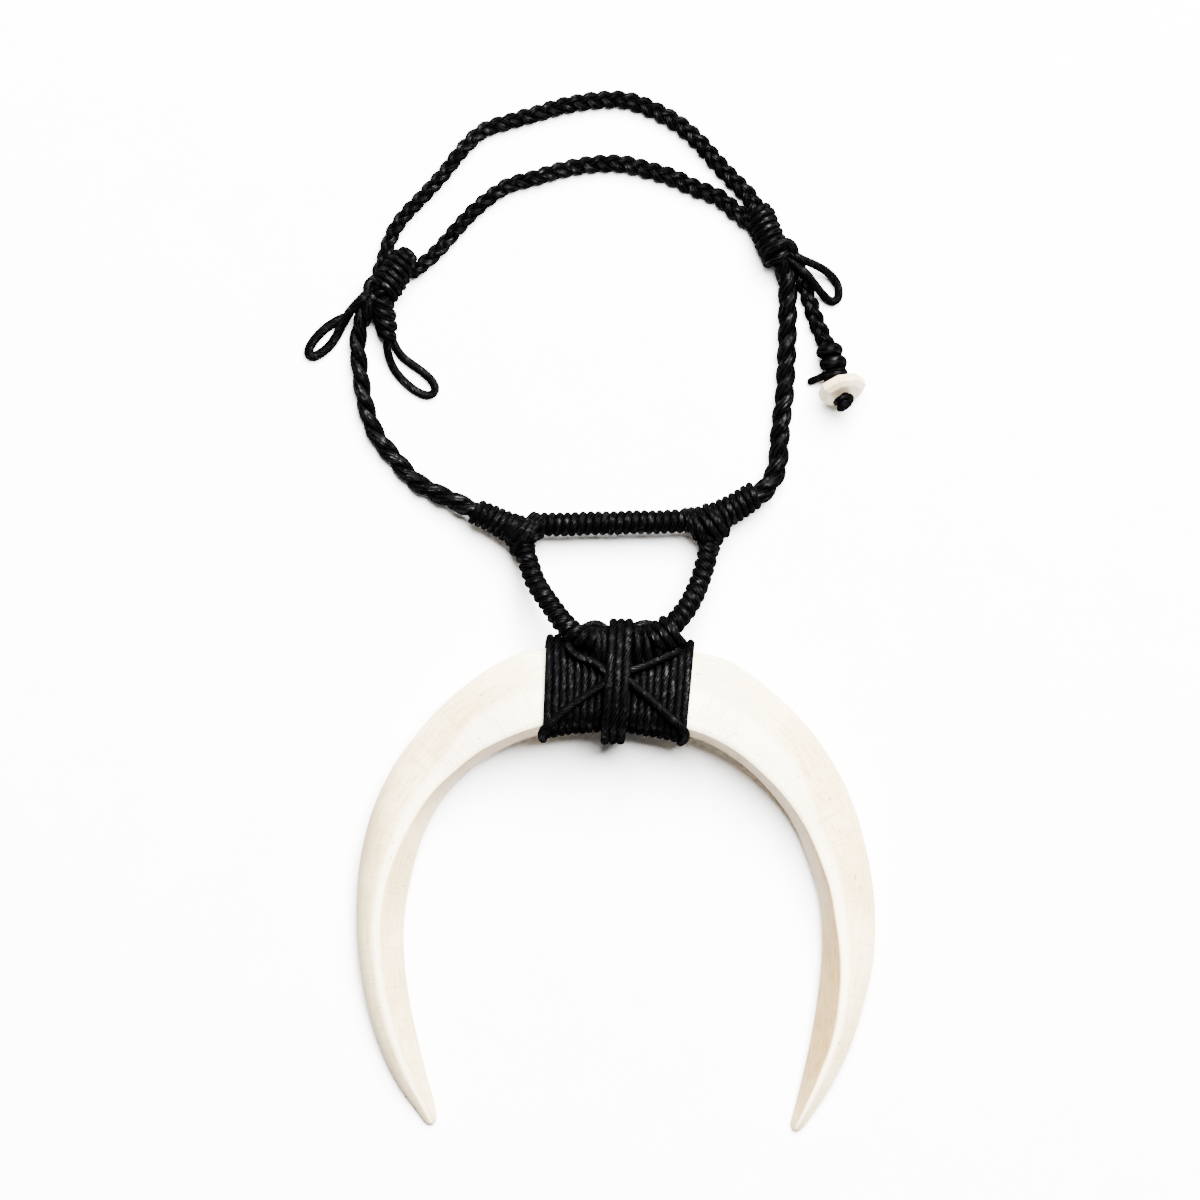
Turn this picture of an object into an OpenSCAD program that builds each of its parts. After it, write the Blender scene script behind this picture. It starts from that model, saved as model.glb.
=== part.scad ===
// Boar tusk necklace, lying flat as it rests on a table.
// X runs to the right tusk, Y towards the nape of the neck, Z up from the table.
// The two tusks are butted end to end and bound with waxed cord. The yoke and the
// crossbar carry them, two twisted ropes rise from the yoke's corners, and two
// braids run round the back between the sliding knots.

/* [Cord] */
// Diameter of the waxed cord, where nothing presses it
cord_d = 1.9; // [1.7:0.1:2.1]
// Clearance between two pieces that press on each other
gap = 0.15; // [0.12:0.01:0.2]

/* [Tusks] */
// Thickness of a tusk at its bound root
tusk_root_t = 14.5; // [13:0.5:15]
// Thickness of a tusk halfway to its tip
tusk_mid_t = 11.5; // [10:0.5:12.5]
// Sections along each tusk
tusk_sections = 24; // [20:1:32]

/* [Lashing] */
// Turns of cord side by side round the two roots
lash_turns = 20; // [16:1:22]
// Length of the lashing along the tusks
lash_l = 38; // [34:1:40]

/* [Yoke] */
// Diameter of the cords that the yoke and the crossbar are wound on
core_d = 1.6; // [1.4:0.1:1.8]
// Outer diameter of a wound leg of the yoke
leg_d = 5.5; // [5:0.1:5.6]
// Outer diameter of the wound crossbar
bar_d = 5.7; // [5.3:0.1:5.8]
// Turns on the crossbar
bar_turns = 20; // [16:1:20]
// Outer diameter of the whipping where a rope meets the yoke
whip_d = 7.4; // [7.3:0.1:7.7]

/* [Ropes] */
// Diameter of one of the two strands of a rope
ply_d = 2.25; // [2.1:0.05:2.25]
// Length over which a strand goes once round the rope
rope_lay = 12; // [11:0.5:14]

/* [Knots] */
// Outer diameter of the coil at the left
knot_left_d = 8.8; // [8.6:0.1:9.2]
// Outer diameter of the coil at the right
knot_right_d = 8.2; // [8.1:0.1:8.6]
// Diameter of the cord of the three plain loops
loop_d = 2; // [1.8:0.1:2.1]

/* [Braids] */
// Width of a braid across its three strands
braid_w = 4.4; // [4.2:0.1:4.6]
// Length in which each strand crosses over and back
braid_pitch = 9.9; // [9:0.3:12]
// Width of one strand, flattened by the braiding
strand_w = 1.5; // [1.3:0.1:1.5]
// Thickness of one strand, flattened by the braiding
strand_t = 0.95; // [0.8:0.05:0.95]

/* [Toggle] */
// Width of the bone toggle across its corners
toggle_d = 12.5; // [11:0.5:13]
// Thickness of the toggle
toggle_t = 3.6; // [3:0.2:4]
// Bore of the toggle
toggle_bore_d = 2.4; // [2.3:0.1:2.6]

/* [Hidden] */
$fn = 48;

ivory = [0.93, 0.91, 0.87];
bone = [0.95, 0.92, 0.86];
black = [0.08, 0.08, 0.09];
soft_black = [0.13, 0.12, 0.14];

// Where the two roots meet
joint_x = 7;
// Clearance between the lashing and the roots inside it
lash_gap = 2*gap;
// Height of a root's underside: the band and the lashing pass beneath it
root_z = 2*cord_d + 2*gap + lash_gap;

// A tusk, from the root to the tip: x and y of the section's middle, width across,
// share of the thickness left, where the ridge lies (0 outer edge, 1 inner edge),
// and how far the underside is raised above the table
left_tusk = [
    [6.8, -19.2, 20.2, 1.00, 0.90, 1.00],
    [-5, -19.3, 20.8, 1.00, 0.90, 1.00],
    [-13.5, -20.7, 21.8, 1.00, 0.90, 0.95],
    [-20, -23.3, 21.0, 0.99, 0.89, 0.85],
    [-26.2, -26.8, 19.4, 0.97, 0.88, 0.70],
    [-32.6, -31.3, 17.9, 0.94, 0.86, 0.52],
    [-38.8, -37.4, 16.4, 0.90, 0.84, 0.34],
    [-44.8, -45.0, 15.4, 0.86, 0.78, 0.18],
    [-49.8, -55.2, 14.7, 0.82, 0.70, 0.06],
    [-53.0, -67.4, 13.8, 0.77, 0.58, 0.00],
    [-54.3, -80.0, 12.5, 0.71, 0.49, 0.00],
    [-53.9, -91.0, 11.8, 0.65, 0.48, 0.00],
    [-52.0, -102.6, 11.0, 0.58, 0.47, 0.00],
    [-49.2, -112.8, 9.8, 0.50, 0.48, 0.00],
    [-45.9, -121.6, 7.7, 0.40, 0.48, 0.00],
    [-42.7, -128.4, 4.9, 0.26, 0.48, 0.02],
    [-40.9, -133.2, 0.6, 0.05, 0.50, 0.08],
];
right_tusk = [
    [7.2, -19.2, 20.2, 1.00, 0.91, 1.00],
    [18, -19.6, 20.8, 1.00, 0.91, 1.00],
    [30.2, -22.3, 22.0, 1.00, 0.91, 0.93],
    [36.6, -25.4, 21.0, 0.99, 0.91, 0.84],
    [43.4, -30.2, 19.7, 0.97, 0.90, 0.70],
    [49.6, -35.9, 18.8, 0.94, 0.90, 0.52],
    [55.1, -42.6, 17.8, 0.91, 0.88, 0.34],
    [59.5, -49.7, 16.7, 0.88, 0.86, 0.20],
    [62.9, -57.7, 15.9, 0.84, 0.82, 0.08],
    [66.3, -70.0, 14.6, 0.79, 0.77, 0.00],
    [67.4, -80.2, 14.0, 0.74, 0.72, 0.00],
    [67.1, -91.0, 13.4, 0.68, 0.61, 0.00],
    [65.2, -102.4, 12.0, 0.61, 0.50, 0.00],
    [62.7, -112.4, 10.4, 0.52, 0.45, 0.00],
    [59.4, -121.8, 8.0, 0.42, 0.48, 0.00],
    [56.0, -129.6, 4.9, 0.27, 0.50, 0.02],
    [53.4, -135.0, 0.6, 0.05, 0.50, 0.08],
];

// The lashing's inside, from left to right: x, y of its upper edge, y of its lower
// edge at mid height
lash_rows = [
    [-12.0, -8.0, -32.3],
    [-2.5, -8.4, -30.7],
    [7.0, -8.7, -29.9],
    [16.5, -8.9, -30.9],
    [26.0, -9.5, -32.8],
];
lash_x0 = joint_x - lash_l/2;
lash_pitch = lash_l/lash_turns;
// Where the ridge lies on the bound roots
root_ridge = 0.9;
// The turns lean: their upper edge lies this much further right than their lower edge
lash_lean = 1.6;
// Share of a cord's diameter left in the valley between two turns
lash_valley = 0.62;

// Middle of a band turn round the lashing, the yoke's cords and the crossing cords,
// as y and z
band_line = [
    [-2.7, 15.6], [-3.7, 19.1], [-6.4, 21.2], [-10.2, 22.6], [-14.5, 23.7], [-20, 24.3],
    [-25.4, 24.2], [-30.0, 22.8], [-32.6, 18.6], [-33.5, 12.5], [-32.2, 6.4], [-28.8, 2.2],
    [-24, 1.0], [-19, 0.97], [-14, 1.0], [-9.0, 2.4], [-6.0, 6.2], [-3.9, 10.6],
];
// First band turn, the distance to the next, and how far a turn leans to the right
// over the width of the lashing
band_x = 4.9;
band_pitch = 2.05;
band_lean = 1.6;
band_mid_y = -20;
band_width = 30;
band_rings = 26;
// Middle of a turn beside the band, which holds the yoke's foot and dives between the
// lashing's turns, as y and z
side_line = [
    [-6.0, 15.0], [-5.1, 17.2], [-5.5, 19.6], [-7.9, 20.6], [-10.6, 20.6], [-12.4, 20.9],
];
side_turn_x = [2.6, 12.0, 14.1];
// How far a side turn leans away from the band
side_lean = 0.2;
// The crossing cords, from the upper corner under the band to the lower corner
cross_left_route = [
    [-7.0, -9.4, 18.4], [-4.0, -11.3, 19.6], [-1.0, -12.9, 20.4], [1.6, -14.0, 21.0],
    [4.0, -15.2, 21.6], [5.0, -16.8, 22.1], [4.0, -18.5, 22.3], [1.4, -20.3, 22.4],
    [-3.0, -23.4, 22.4], [-7.4, -26.8, 22.4], [-10.4, -29.6, 22.3], [-11.8, -31.7, 21.3],
];
cross_right_route = [
    [23.4, -10.0, 18.5], [20.2, -11.5, 19.6], [17.0, -13.0, 20.4], [14.0, -14.2, 21.2],
    [11.2, -15.2, 21.7], [9.2, -16.6, 22.1], [11.2, -18.6, 22.3], [14.0, -21.0, 22.4],
    [17.6, -24.2, 22.4], [21.0, -27.6, 22.5], [23.6, -30.4, 22.4], [25.0, -32.5, 21.3],
];

// Middle of the cords that carry the yoke, from the left rope's whipping down the
// left leg, across the top of the lashing and up the right leg
yoke_route = [
    [-20.6, 21.9, 6.3], [-17.9, 20.0, 6.3], [-16.9, 16.4, 6.5], [-15.8, 12.8, 7.3],
    [-13.7, 7.4, 9.7], [-10.4, 2.2, 12.8], [-6.3, -3.2, 16.1], [-2.4, -6.6, 18.2],
    [1.8, -7.4, 18.4], [7.5, -7.2, 18.4], [13.0, -7.3, 18.4], [17.9, -6.6, 18.3],
    [21.9, -3.4, 16.3], [25.9, 1.8, 12.8], [28.5, 7.0, 9.6], [30.3, 12.8, 7.2],
    [31.2, 16.6, 6.5], [31.7, 19.8, 6.3], [32.5, 22.4, 6.3], [34.0, 24.1, 6.3],
];
// Cord that arches from foot to foot over the yoke
foot_route = [
    [-1.2, -4.1, 13.2], [1.0, -3.7, 12.9], [3.0, -4.4, 12.7], [4.9, -5.6, 12.6],
    [7.5, -5.9, 12.6], [10.1, -5.6, 12.6], [12.2, -4.4, 12.7], [14.4, -3.7, 12.9],
    [16.2, -4.1, 13.2],
];
foot_d = 1.6;
// Bore of a winding on a plain cord
core_bore = core_d + 5*gap;
leg_turns_left = 15;
leg_turns_right = 13;
corner_turns = 3;
// Diameters of a corner's winding, from the whipping round the bend to the leg
corner_widths = [8.0, 8.9, 7.7, 6.1];
// How much thinner a winding is in the grooves between its turns
groove = 0.7;
// Thickness of a turn as a share of its pitch: the turns bed into each other
turn_share = 1.15;
// Bore of a whipping or coil that grips a rope
rope_bore = 2*ply_d + 5.4*gap;
// How far a braid's strands rise and fall as they cross
braid_rise = 1.15;
// Angle at which the toggle's edges are pared, and how deep the cut goes
toggle_pare = 32;
toggle_cut = 0.7;
// Crossbar, from left to right
bar_a = [-13.9, 22.3, 6.4];
bar_b = [27.8, 23.3, 6.4];
// Whippings, from the yoke's corner out along the rope
whip_left_a = [-21.3, 22.3, 6.3];
whip_left_b = [-29.8, 26.2, 5.3];
whip_right_a = [34.7, 25.0, 6.3];
whip_right_b = [43.5, 30.5, 5.4];
whip_turns_left = 5;
whip_turns_right = 6;

// Ropes, from the whipping to the far end inside the coil
rope_left_route = [
    [-22.4, 22.9, 6.1], [-26.0, 24.5, 5.75], [-30.0, 26.3, 5.3], [-35.5, 29.0, 4.3],
    [-41.3, 31.3, 3.1], [-46.2, 34.4, 2.5], [-51.0, 40.0, 2.4], [-54.4, 44.6, 2.4],
    [-57.0, 50.0, 2.4], [-58.7, 56.4, 2.4], [-59.7, 63.8, 2.4], [-60.2, 69.4, 2.5],
    [-60.0, 74.2, 2.9], [-58.4, 77.9, 4.1], [-56.0, 80.4, 5.1], [-53.6, 83.2, 5.35],
    [-49.8, 88.1, 5.35], [-46.6, 92.2, 5.35],
];
rope_right_route = [
    [36.5, 26.1, 6.1], [40.0, 28.3, 5.75], [43.9, 30.9, 5.3], [46.8, 34.2, 4.2],
    [48.5, 38.4, 3.1], [49.3, 43.6, 2.5], [50.1, 50.2, 2.4], [50.9, 56.6, 2.4],
    [51.3, 64.4, 2.4], [51.6, 71.0, 2.4], [51.7, 78.0, 2.5], [51.6, 84.6, 2.9],
    [50.9, 88.6, 3.6], [49.6, 92.0, 4.1], [47.4, 96.6, 4.2],
];

// Coils, from the end the rope enters to the far end
knot_left_a = [-53.8, 83.0, 5.3];
knot_left_b = [-45.9, 93.2, 5.3];
knot_left_turns = 8;
knot_right_a = [49.4, 92.4, 4.15];
knot_right_b = [43.6, 104.6, 4.15];
knot_right_turns = 8;
// Wrapped stub below the left coil
stub_a = [-52.6, 78.2, 3.1];
stub_b = [-52.0, 71.2, 2.9];
stub_d = 5.6;
stub_turns = 3;

// The three plain loops
loop_left_outer_route = [
    [-59.4, 81.0, 7.2], [-61.1, 79.2, 5.7], [-62.6, 77.4, 3.9], [-64.4, 74.2, 2.2],
    [-65.9, 71.4, 1.4], [-67.7, 69.0, 1.05], [-70.1, 67.1, 1.0], [-71.8, 66.5, 1.0],
    [-73.0, 67.3, 1.0], [-72.5, 69.1, 1.0], [-71.0, 71.3, 1.0], [-68.5, 73.8, 1.0],
    [-65.9, 75.5, 1.0], [-64.0, 76.4, 1.0],
];
loop_left_inner_route = [
    [-52.3, 70.6, 3.7], [-52.5, 68.2, 2.9], [-51.7, 65.3, 1.6], [-50.2, 62.4, 1.1],
    [-47.8, 59.7, 1.0], [-45.2, 57.6, 1.0], [-42.6, 56.4, 1.0], [-40.8, 56.6, 1.0],
    [-40.0, 57.9, 1.0], [-40.6, 59.7, 1.0], [-42.4, 61.7, 1.0], [-44.6, 63.4, 1.0],
    [-47.4, 65.4, 1.0], [-49.4, 67.4, 1.1], [-51.0, 70.3, 1.6],
];
loop_right_route = [
    [52.4, 93.2, 6.0], [55.6, 91.5, 5.7], [58.2, 90.4, 4.7], [60.8, 89.1, 3.4],
    [62.9, 87.5, 2.2], [64.5, 85.4, 1.4], [65.0, 83.3, 1.05], [64.7, 81.5, 1.0],
    [63.4, 80.7, 1.05], [61.9, 81.5, 1.6], [60.3, 83.1, 2.8], [58.9, 84.9, 4.2],
    [57.6, 86.5, 5.2], [56.2, 88.2, 5.5], [54.4, 89.7, 5.2],
];

// Braids, from the left knot to the right one, and the short tail
outer_braid_route = [
    [-59.0, 84.6, 1.8], [-57.6, 87.4, 1.8], [-55.0, 91.3, 1.8], [-52.3, 95.6, 1.9],
    [-50.2, 99.5, 2.1], [-47.2, 103.3, 2.2], [-42.0, 108.7, 2.2], [-37.0, 114.3, 2.2], [-32.5, 119.8, 2.2],
    [-27.2, 124.6, 2.2], [-20.0, 127.0, 2.2], [-13.6, 129.2, 2.2], [-6.0, 131.5, 2.2],
    [2.0, 132.6, 2.2], [9.6, 132.4, 2.2], [16.4, 130.2, 2.2], [22.5, 126.8, 2.2],
    [28.0, 122.9, 2.2], [32.2, 118.2, 2.2], [36.6, 113.3, 2.4], [40.8, 109.1, 3.2],
    [43.1, 105.7, 4.0], [44.6, 102.5, 4.15],
];
inner_braid_route = [
    [-41.7, 88.0, 2.4], [-40.3, 92.0, 2.2], [-37.4, 95.8, 2.2], [-34.0, 100.0, 2.2],
    [-28.4, 104.8, 2.2], [-21.4, 110.2, 2.2], [-14.0, 112.9, 2.2], [-7.0, 115.0, 2.2],
    [0.5, 116.4, 2.2], [8.3, 116.6, 2.2], [15.4, 115.0, 2.2], [21.6, 113.1, 2.2],
    [27.4, 110.4, 2.2], [33.3, 107.4, 2.2], [37.4, 104.8, 2.3], [39.2, 102.9, 2.4],
];
tail_route = [
    [55.1, 87.9, 1.9], [56.0, 84.8, 1.9], [57.4, 80.8, 1.9], [58.8, 76.4, 2.0],
    [60.3, 72.8, 2.5], [61.5, 70.1, 3.0],
];
tail_w = 4.3;
tail_pitch = 9.6;

// Toggle, its cord and the knots on each side
toggle_at = [65.8, 57.8, 6.4];
// The way the toggle's cord leaves it: turned in plan, and raised above the table
toggle_turn = -71.5;
toggle_rise = 27;
stopper_a = [62.1, 69.2, 3.4];
stopper_b = [65.0, 60.2, 5.2];
stopper_d = 6.2;
stopper_turns = 4;
cut_a = [61.3, 61.3, 3.7];
cut_b = [56.9, 59.6, 1.0];
cut_d = 1.7;
// The two lobes of the knot under the toggle: place across the toggle's face, and width
end_d = 4.2;
end_lobes = [[-2.0, 1.4], [-1.5, 3.0], [0.0, end_d], [1.3, 3.7], [2.2, 3.6], [3.2, 2.9], [3.8, 1.4]];
toggle_cord_route = [
    [63.2, 65.8, 4.1], [64.7, 61.1, 5.0], [65.3, 59.3, 5.6], [65.8, 57.8, 6.4], [66.3, 56.3, 7.2],
];

// How many sides a cord has, and how far apart the rings along it stand
cord_sides = 8;
strand_sides = 5;
ring_step = 2.4;

// Curves and directions
function unit(v) = v / norm(v);
function mix(a, b, t) = a + (b - a)*t;
// Cubic through p, with u counted in points
function on_curve(p, u) =
    let (last = len(p) - 1, i = max(0, min(floor(u), last - 1)), t = u - i,
        a = p[max(i - 1, 0)], b = p[i], c = p[i + 1], d = p[min(i + 2, last)])
    (2*b + (c - a)*t + (2*a - 5*b + 4*c - d)*t*t + (3*b - a - 3*c + d)*t*t*t)/2;
// Table of the length run and the place on the curve, for even spacing
function run_table(p, parts = 8) =
    let (n = (len(p) - 1)*parts, q = [for (k = [0:n]) on_curve(p, k/parts)])
    [for (k = 0, s = 0; k <= n; s = s + (k < n ? norm(q[k + 1] - q[k]) : 0), k = k + 1)
        [s, k/parts]];
function run_length(table) = table[len(table) - 1][0];
function even_points(p, n) = points_between(p, 0, len(p) - 1, n);
// Evenly spaced points on the part of the curve from u = from to u = upto
function points_between(p, from, upto, n) =
    let (table = run_table(p), back = [for (r = table) [r[1], r[0]]],
        a = lookup(from, back), b = lookup(upto, back))
    [for (k = [0:n]) on_curve(p, lookup(mix(a, b, k/n), table))];
function tangent(q, k, loop = false) =
    let (n = len(q)) loop ? unit(q[(k + 1) % n] - q[(k + n - 1) % n])
        : unit(q[min(k + 1, n - 1)] - q[max(k - 1, 0)]);

// Ring of an oval section, w to the side and h along the height
function ring(at, side, high, w, h, sides) =
    [for (j = [0:sides - 1]) let (a = -360*(j + 0.5)/sides)
        at + side*(w/2*cos(a)) + high*(h/2*sin(a))];
// Rings along points q, with the height kept as near to ref as the curve allows
function tube_rings(q, w, h, sides, ref = [0, 0, 1], loop = false) =
    [for (k = [0:len(q) - 1])
        let (t = tangent(q, k, loop), side = unit(cross(t, ref)), high = cross(side, t))
        ring(q[k], side, high, w, h, sides)];

// Closed skin over a row of rings, either joined end to end or closed by flat faces
module skin(rings, loop = false) {
    n = len(rings[0]);
    m = len(rings);
    spans = loop ? m - 1 : m - 2;
    polyhedron(
        points = [for (r = rings) each r],
        faces = [
            if (!loop) [for (j = [0:n - 1]) j],
            if (!loop) [for (j = [n - 1:-1:0]) (m - 1)*n + j],
            for (i = [0:spans]) for (j = [0:n - 1])
                let (a = i*n + j, b = i*n + (j + 1) % n,
                    c = ((i + 1) % m)*n + j, d = ((i + 1) % m)*n + (j + 1) % n)
                each [[a, c, b], [b, c, d]],
        ]);
}

// Cord of diameter d along a hand-set route
module cord(route, d, sides = cord_sides) {
    n = ceil(run_length(run_table(route))/(ring_step));
    skin(tube_rings(even_points(route, max(n, len(route))), d, d, sides));
}

// Section of a tusk, w across and t thick: a domed face from the outer edge to the
// ridge, a steep facet from the ridge to the inner edge, and a flatter underside.
// Each point is [distance from the outer edge, height].
function tusk_section(w, t, ridge) =
    let (edge_out = 0.42*t, edge_in = 0.36*t, top = t,
        face = [for (k = [0:6]) let (a = 90*k/6)
            [ridge*w*(1 - cos(a)), edge_out + (top - edge_out)*pow(sin(a), 0.8)]],
        facet = [for (k = [1:3]) let (u = k/3)
            [mix(ridge*w, w, u), mix(top, edge_in, pow(u, 1.35))]],
        under = [for (k = [1:6]) let (a = 180*k/7)
            [w*(1 + cos(a))/2, mix(edge_in, edge_out, k/7)*(1 - pow(sin(a), 0.75))]])
    concat(face, facet, under);

// Tusk lofted through its table; side is 1 for the right tusk and -1 for the left
module tusk(rows, side) {
    last = len(rows) - 1;
    rings = [for (k = [0:tusk_sections])
        let (u = last*k/tusk_sections, r = on_curve(rows, u),
            ahead = on_curve(rows, min(u + 0.2, last)),
            behind = on_curve(rows, max(u - 0.2, 0)),
            way = u < 1 ? [side, 0] : unit([ahead[0] - behind[0], ahead[1] - behind[1]]),
            out = [-way[1], way[0]]*side,
            s = tusk_section(r[2], tusk_thickness(r[3]), r[4]),
            ordered = side > 0 ? s : [for (j = [len(s) - 1:-1:0]) s[j]])
        [for (p = ordered) [r[0] + out[0]*(r[2]/2 - p[0]), r[1] + out[1]*(r[2]/2 - p[0]),
            p[1] + root_z*max(r[5], 0)]]];
    skin(rings);
}
// The table's share of the thickness runs from the root's down through the middle's
function tusk_thickness(share) =
    share >= 0.77 ? mix(tusk_mid_t, tusk_root_t, (share - 0.77)/0.23) : tusk_mid_t*share/0.77;

module tusk_left() { color(ivory) tusk(left_tusk, -1); }
module tusk_right() { color(ivory) tusk(right_tusk, 1); }

// One closed line round the two roots at x, set off outward from their surface
function lash_line(x, off) =
    let (r = lash_at(x), w = r[1] - r[2], s = tusk_section(w, tusk_root_t, root_ridge),
        n = len(s), y_mid = (r[1] + r[2])/2)
    [for (j = [0:n - 1])
        let (d = s[(j + 1) % n] - s[(j + n - 1) % n], out = unit([-d[1], d[0]]),
            p = s[j] + out*off, y = r[1] - p[0])
        [x + lash_lean*(y - y_mid)/w, y, root_z + p[1]]];
function lash_at(x) =
    let (u = (x - lash_rows[0][0])/(lash_rows[4][0] - lash_rows[0][0])*4)
    on_curve(lash_rows, max(0, min(4, u)));

module lashing_turns() {
    outer = [for (k = [0:2*lash_turns])
        lash_line(lash_x0 + lash_pitch*k/2, lash_gap + (k % 2 == 1 ? cord_d : lash_valley*cord_d))];
    inner = [for (k = [6:-1:0]) lash_line(lash_x0 + lash_l*k/6, lash_gap)];
    color(black) skin(concat(outer, inner), loop = true);
}

// Cord laid as one closed turn in the plane of x, through points of y and z, with
// its upper edge leaning to the right
module closed_turn(x, lean, line) {
    shut = concat([line[len(line) - 1]], line, [line[0], line[1]]);
    q = [for (k = [0:band_rings - 1])
        let (p = on_curve(shut, 1 + len(line)*k/band_rings))
        [x + lean*(p[0] - band_mid_y)/band_width, p[0], p[1]]];
    skin(tube_rings(q, cord_d, cord_d, strand_sides, [1, 0, 0], true), loop = true);
}
module band_turns() {
    color(soft_black) for (k = [0:2])
        closed_turn(band_x + band_pitch*k, band_lean, band_line);
}
module side_turns() {
    color(soft_black) for (x = side_turn_x)
        skin(tube_rings([for (k = [0:2*(len(side_line) - 1)])
            let (p = on_curve(side_line, k/2), away = x < joint_x ? -1 : 1)
            [x + away*side_lean*k/8, p[0], p[1]]],
            cord_d, cord_d, strand_sides, [1, 0, 0]));
}
module cross_cord_left() { color(soft_black) cord(cross_left_route, cord_d, strand_sides); }
module cross_cord_right() { color(soft_black) cord(cross_right_route, cord_d, strand_sides); }

// Ribbed sleeve of cord wound side by side on a straight run from a to b
module wound(a, b, d, turns, bore) {
    l = norm(b - a);
    pitch = l/turns;
    turn_d = turn_share*pitch;
    along(a, b) difference() {
        rotate_extrude()
            for (k = [0:turns - 1])
                translate([(d - turn_d)/2, pitch*(k + 0.5)]) circle(d = turn_d);
        translate([0, 0, -pitch]) cylinder(d = bore, h = l + 2*pitch);
    }
}
// Turns the way up into the way from a to b
module along(a, b) {
    v = b - a;
    translate(a) rotate([0, acos(v[2]/norm(v)), atan2(v[1], v[0])]) children();
}
// Ribbed sleeve of cord wound on the yoke's cords between two places on their route;
// widths are its diameters, evenly spaced from one end to the other
module wound_curve(from, upto, widths, turns, sides = 8) {
    q = points_between(yoke_route, from, upto, 2*turns);
    last = len(widths) - 1;
    outer = [for (k = [0:2*turns])
        let (d = on_curve(widths, last*k/(2*turns)) - (k % 2 == 1 ? 0 : groove),
            t = tangent(q, k), side = unit(cross(t, [0, 0, 1])), high = cross(side, t))
        ring(q[k], side, high, d, d, sides)];
    inner = [for (k = [2*turns:-2:0])
        let (t = tangent(q, k), side = unit(cross(t, [0, 0, 1])), high = cross(side, t))
        ring(q[k], side, high, core_bore, core_bore, sides)];
    skin(concat(outer, inner), loop = true);
}

module yoke_core() { color(black) cord(yoke_route, core_d, strand_sides); }
module foot_cord() { color(soft_black) cord(foot_route, foot_d, strand_sides); }
module leg_wrap_left() {
    color(soft_black) wound_curve(2.12, 7.6, [leg_d, leg_d], leg_turns_left);
}
module leg_wrap_right() {
    color(soft_black) wound_curve(10.7, 15.88, [leg_d, leg_d], leg_turns_right);
}
module corner_wrap_left() {
    color(soft_black) wound_curve(0, 2.04, corner_widths, corner_turns);
}
module corner_wrap_right() {
    color(soft_black) wound_curve(15.96, 19, [for (k = [3:-1:0]) corner_widths[k]], corner_turns);
}

module crossbar_core() { color(black) along(bar_a, bar_b) cylinder(d = core_d, h = norm(bar_b - bar_a)); }
module crossbar_wrap() { color(soft_black) wound(bar_a, bar_b, bar_d, bar_turns, core_bore); }
module whip_left() {
    color(soft_black) wound(whip_left_a, whip_left_b, whip_d, whip_turns_left, rope_bore);
}
module whip_right() {
    color(soft_black) wound(whip_right_a, whip_right_b, whip_d, whip_turns_right, rope_bore);
}

// One strand of a rope of two, wound round the rope's middle
module rope_ply(route, start, hand) {
    l = run_length(run_table(route));
    n = ceil(8*l/rope_lay);
    q = even_points(route, n);
    wind = [for (k = [0:n])
        let (t = tangent(q, k), side = unit(cross(t, [0, 0, 1])), high = cross(side, t),
            a = start + hand*360*l*k/n/rope_lay)
        q[k] + (side*cos(a) + high*sin(a))*(ply_d/2 + gap)];
    skin(tube_rings(wind, ply_d, ply_d, 6));
}
module rope_left_ply_1() { color(soft_black) rope_ply(rope_left_route, 0, 1); }
module rope_left_ply_2() { color(soft_black) rope_ply(rope_left_route, 180, 1); }
module rope_right_ply_1() { color(soft_black) rope_ply(rope_right_route, 0, -1); }
module rope_right_ply_2() { color(soft_black) rope_ply(rope_right_route, 180, -1); }

module knot_left() {
    color(soft_black) wound(knot_left_a, knot_left_b, knot_left_d, knot_left_turns, rope_bore);
}
module knot_right() {
    color(soft_black) wound(knot_right_a, knot_right_b, knot_right_d, knot_right_turns, rope_bore);
}
module stub_wrap() { color(soft_black) wound(stub_a, stub_b, stub_d, stub_turns, core_bore); }
module loop_left_outer() { color(soft_black) cord(loop_left_outer_route, loop_d); }
module loop_left_inner() { color(soft_black) cord(loop_left_inner_route, loop_d); }
module loop_right() { color(soft_black) cord(loop_right_route, loop_d); }

// One strand of a flat braid of three
module braid_strand(route, w, pitch, place) {
    l = run_length(run_table(route));
    n = ceil(7*l/pitch);
    q = even_points(route, n);
    weave = [for (k = [0:n])
        let (t = tangent(q, k), side = unit(cross(t, [0, 0, 1])), high = cross(side, t),
            a = 360*l*k/n/pitch + 120*place)
        q[k] + side*((w - strand_w)/2*sin(a)) + high*(braid_rise*sin(2*a))];
    skin(tube_rings(weave, strand_w, strand_t, strand_sides));
}
module outer_braid_1() { color(soft_black) braid_strand(outer_braid_route, braid_w, braid_pitch, 0); }
module outer_braid_2() { color(soft_black) braid_strand(outer_braid_route, braid_w, braid_pitch, 1); }
module outer_braid_3() { color(soft_black) braid_strand(outer_braid_route, braid_w, braid_pitch, 2); }
module inner_braid_1() { color(soft_black) braid_strand(inner_braid_route, braid_w, braid_pitch, 0); }
module inner_braid_2() { color(soft_black) braid_strand(inner_braid_route, braid_w, braid_pitch, 1); }
module inner_braid_3() { color(soft_black) braid_strand(inner_braid_route, braid_w, braid_pitch, 2); }
module tail_braid_1() { color(soft_black) braid_strand(tail_route, tail_w, tail_pitch, 0); }
module tail_braid_2() { color(soft_black) braid_strand(tail_route, tail_w, tail_pitch, 1); }
module tail_braid_3() { color(soft_black) braid_strand(tail_route, tail_w, tail_pitch, 2); }

// Fat turns drawn tight below the tail
module stopper_knot() {
    color(soft_black) wound(stopper_a, stopper_b, stopper_d, stopper_turns, core_bore);
}
module cut_end() { color(soft_black) along(cut_a, cut_b) cylinder(d = cut_d, h = norm(cut_b - cut_a)); }

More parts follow.
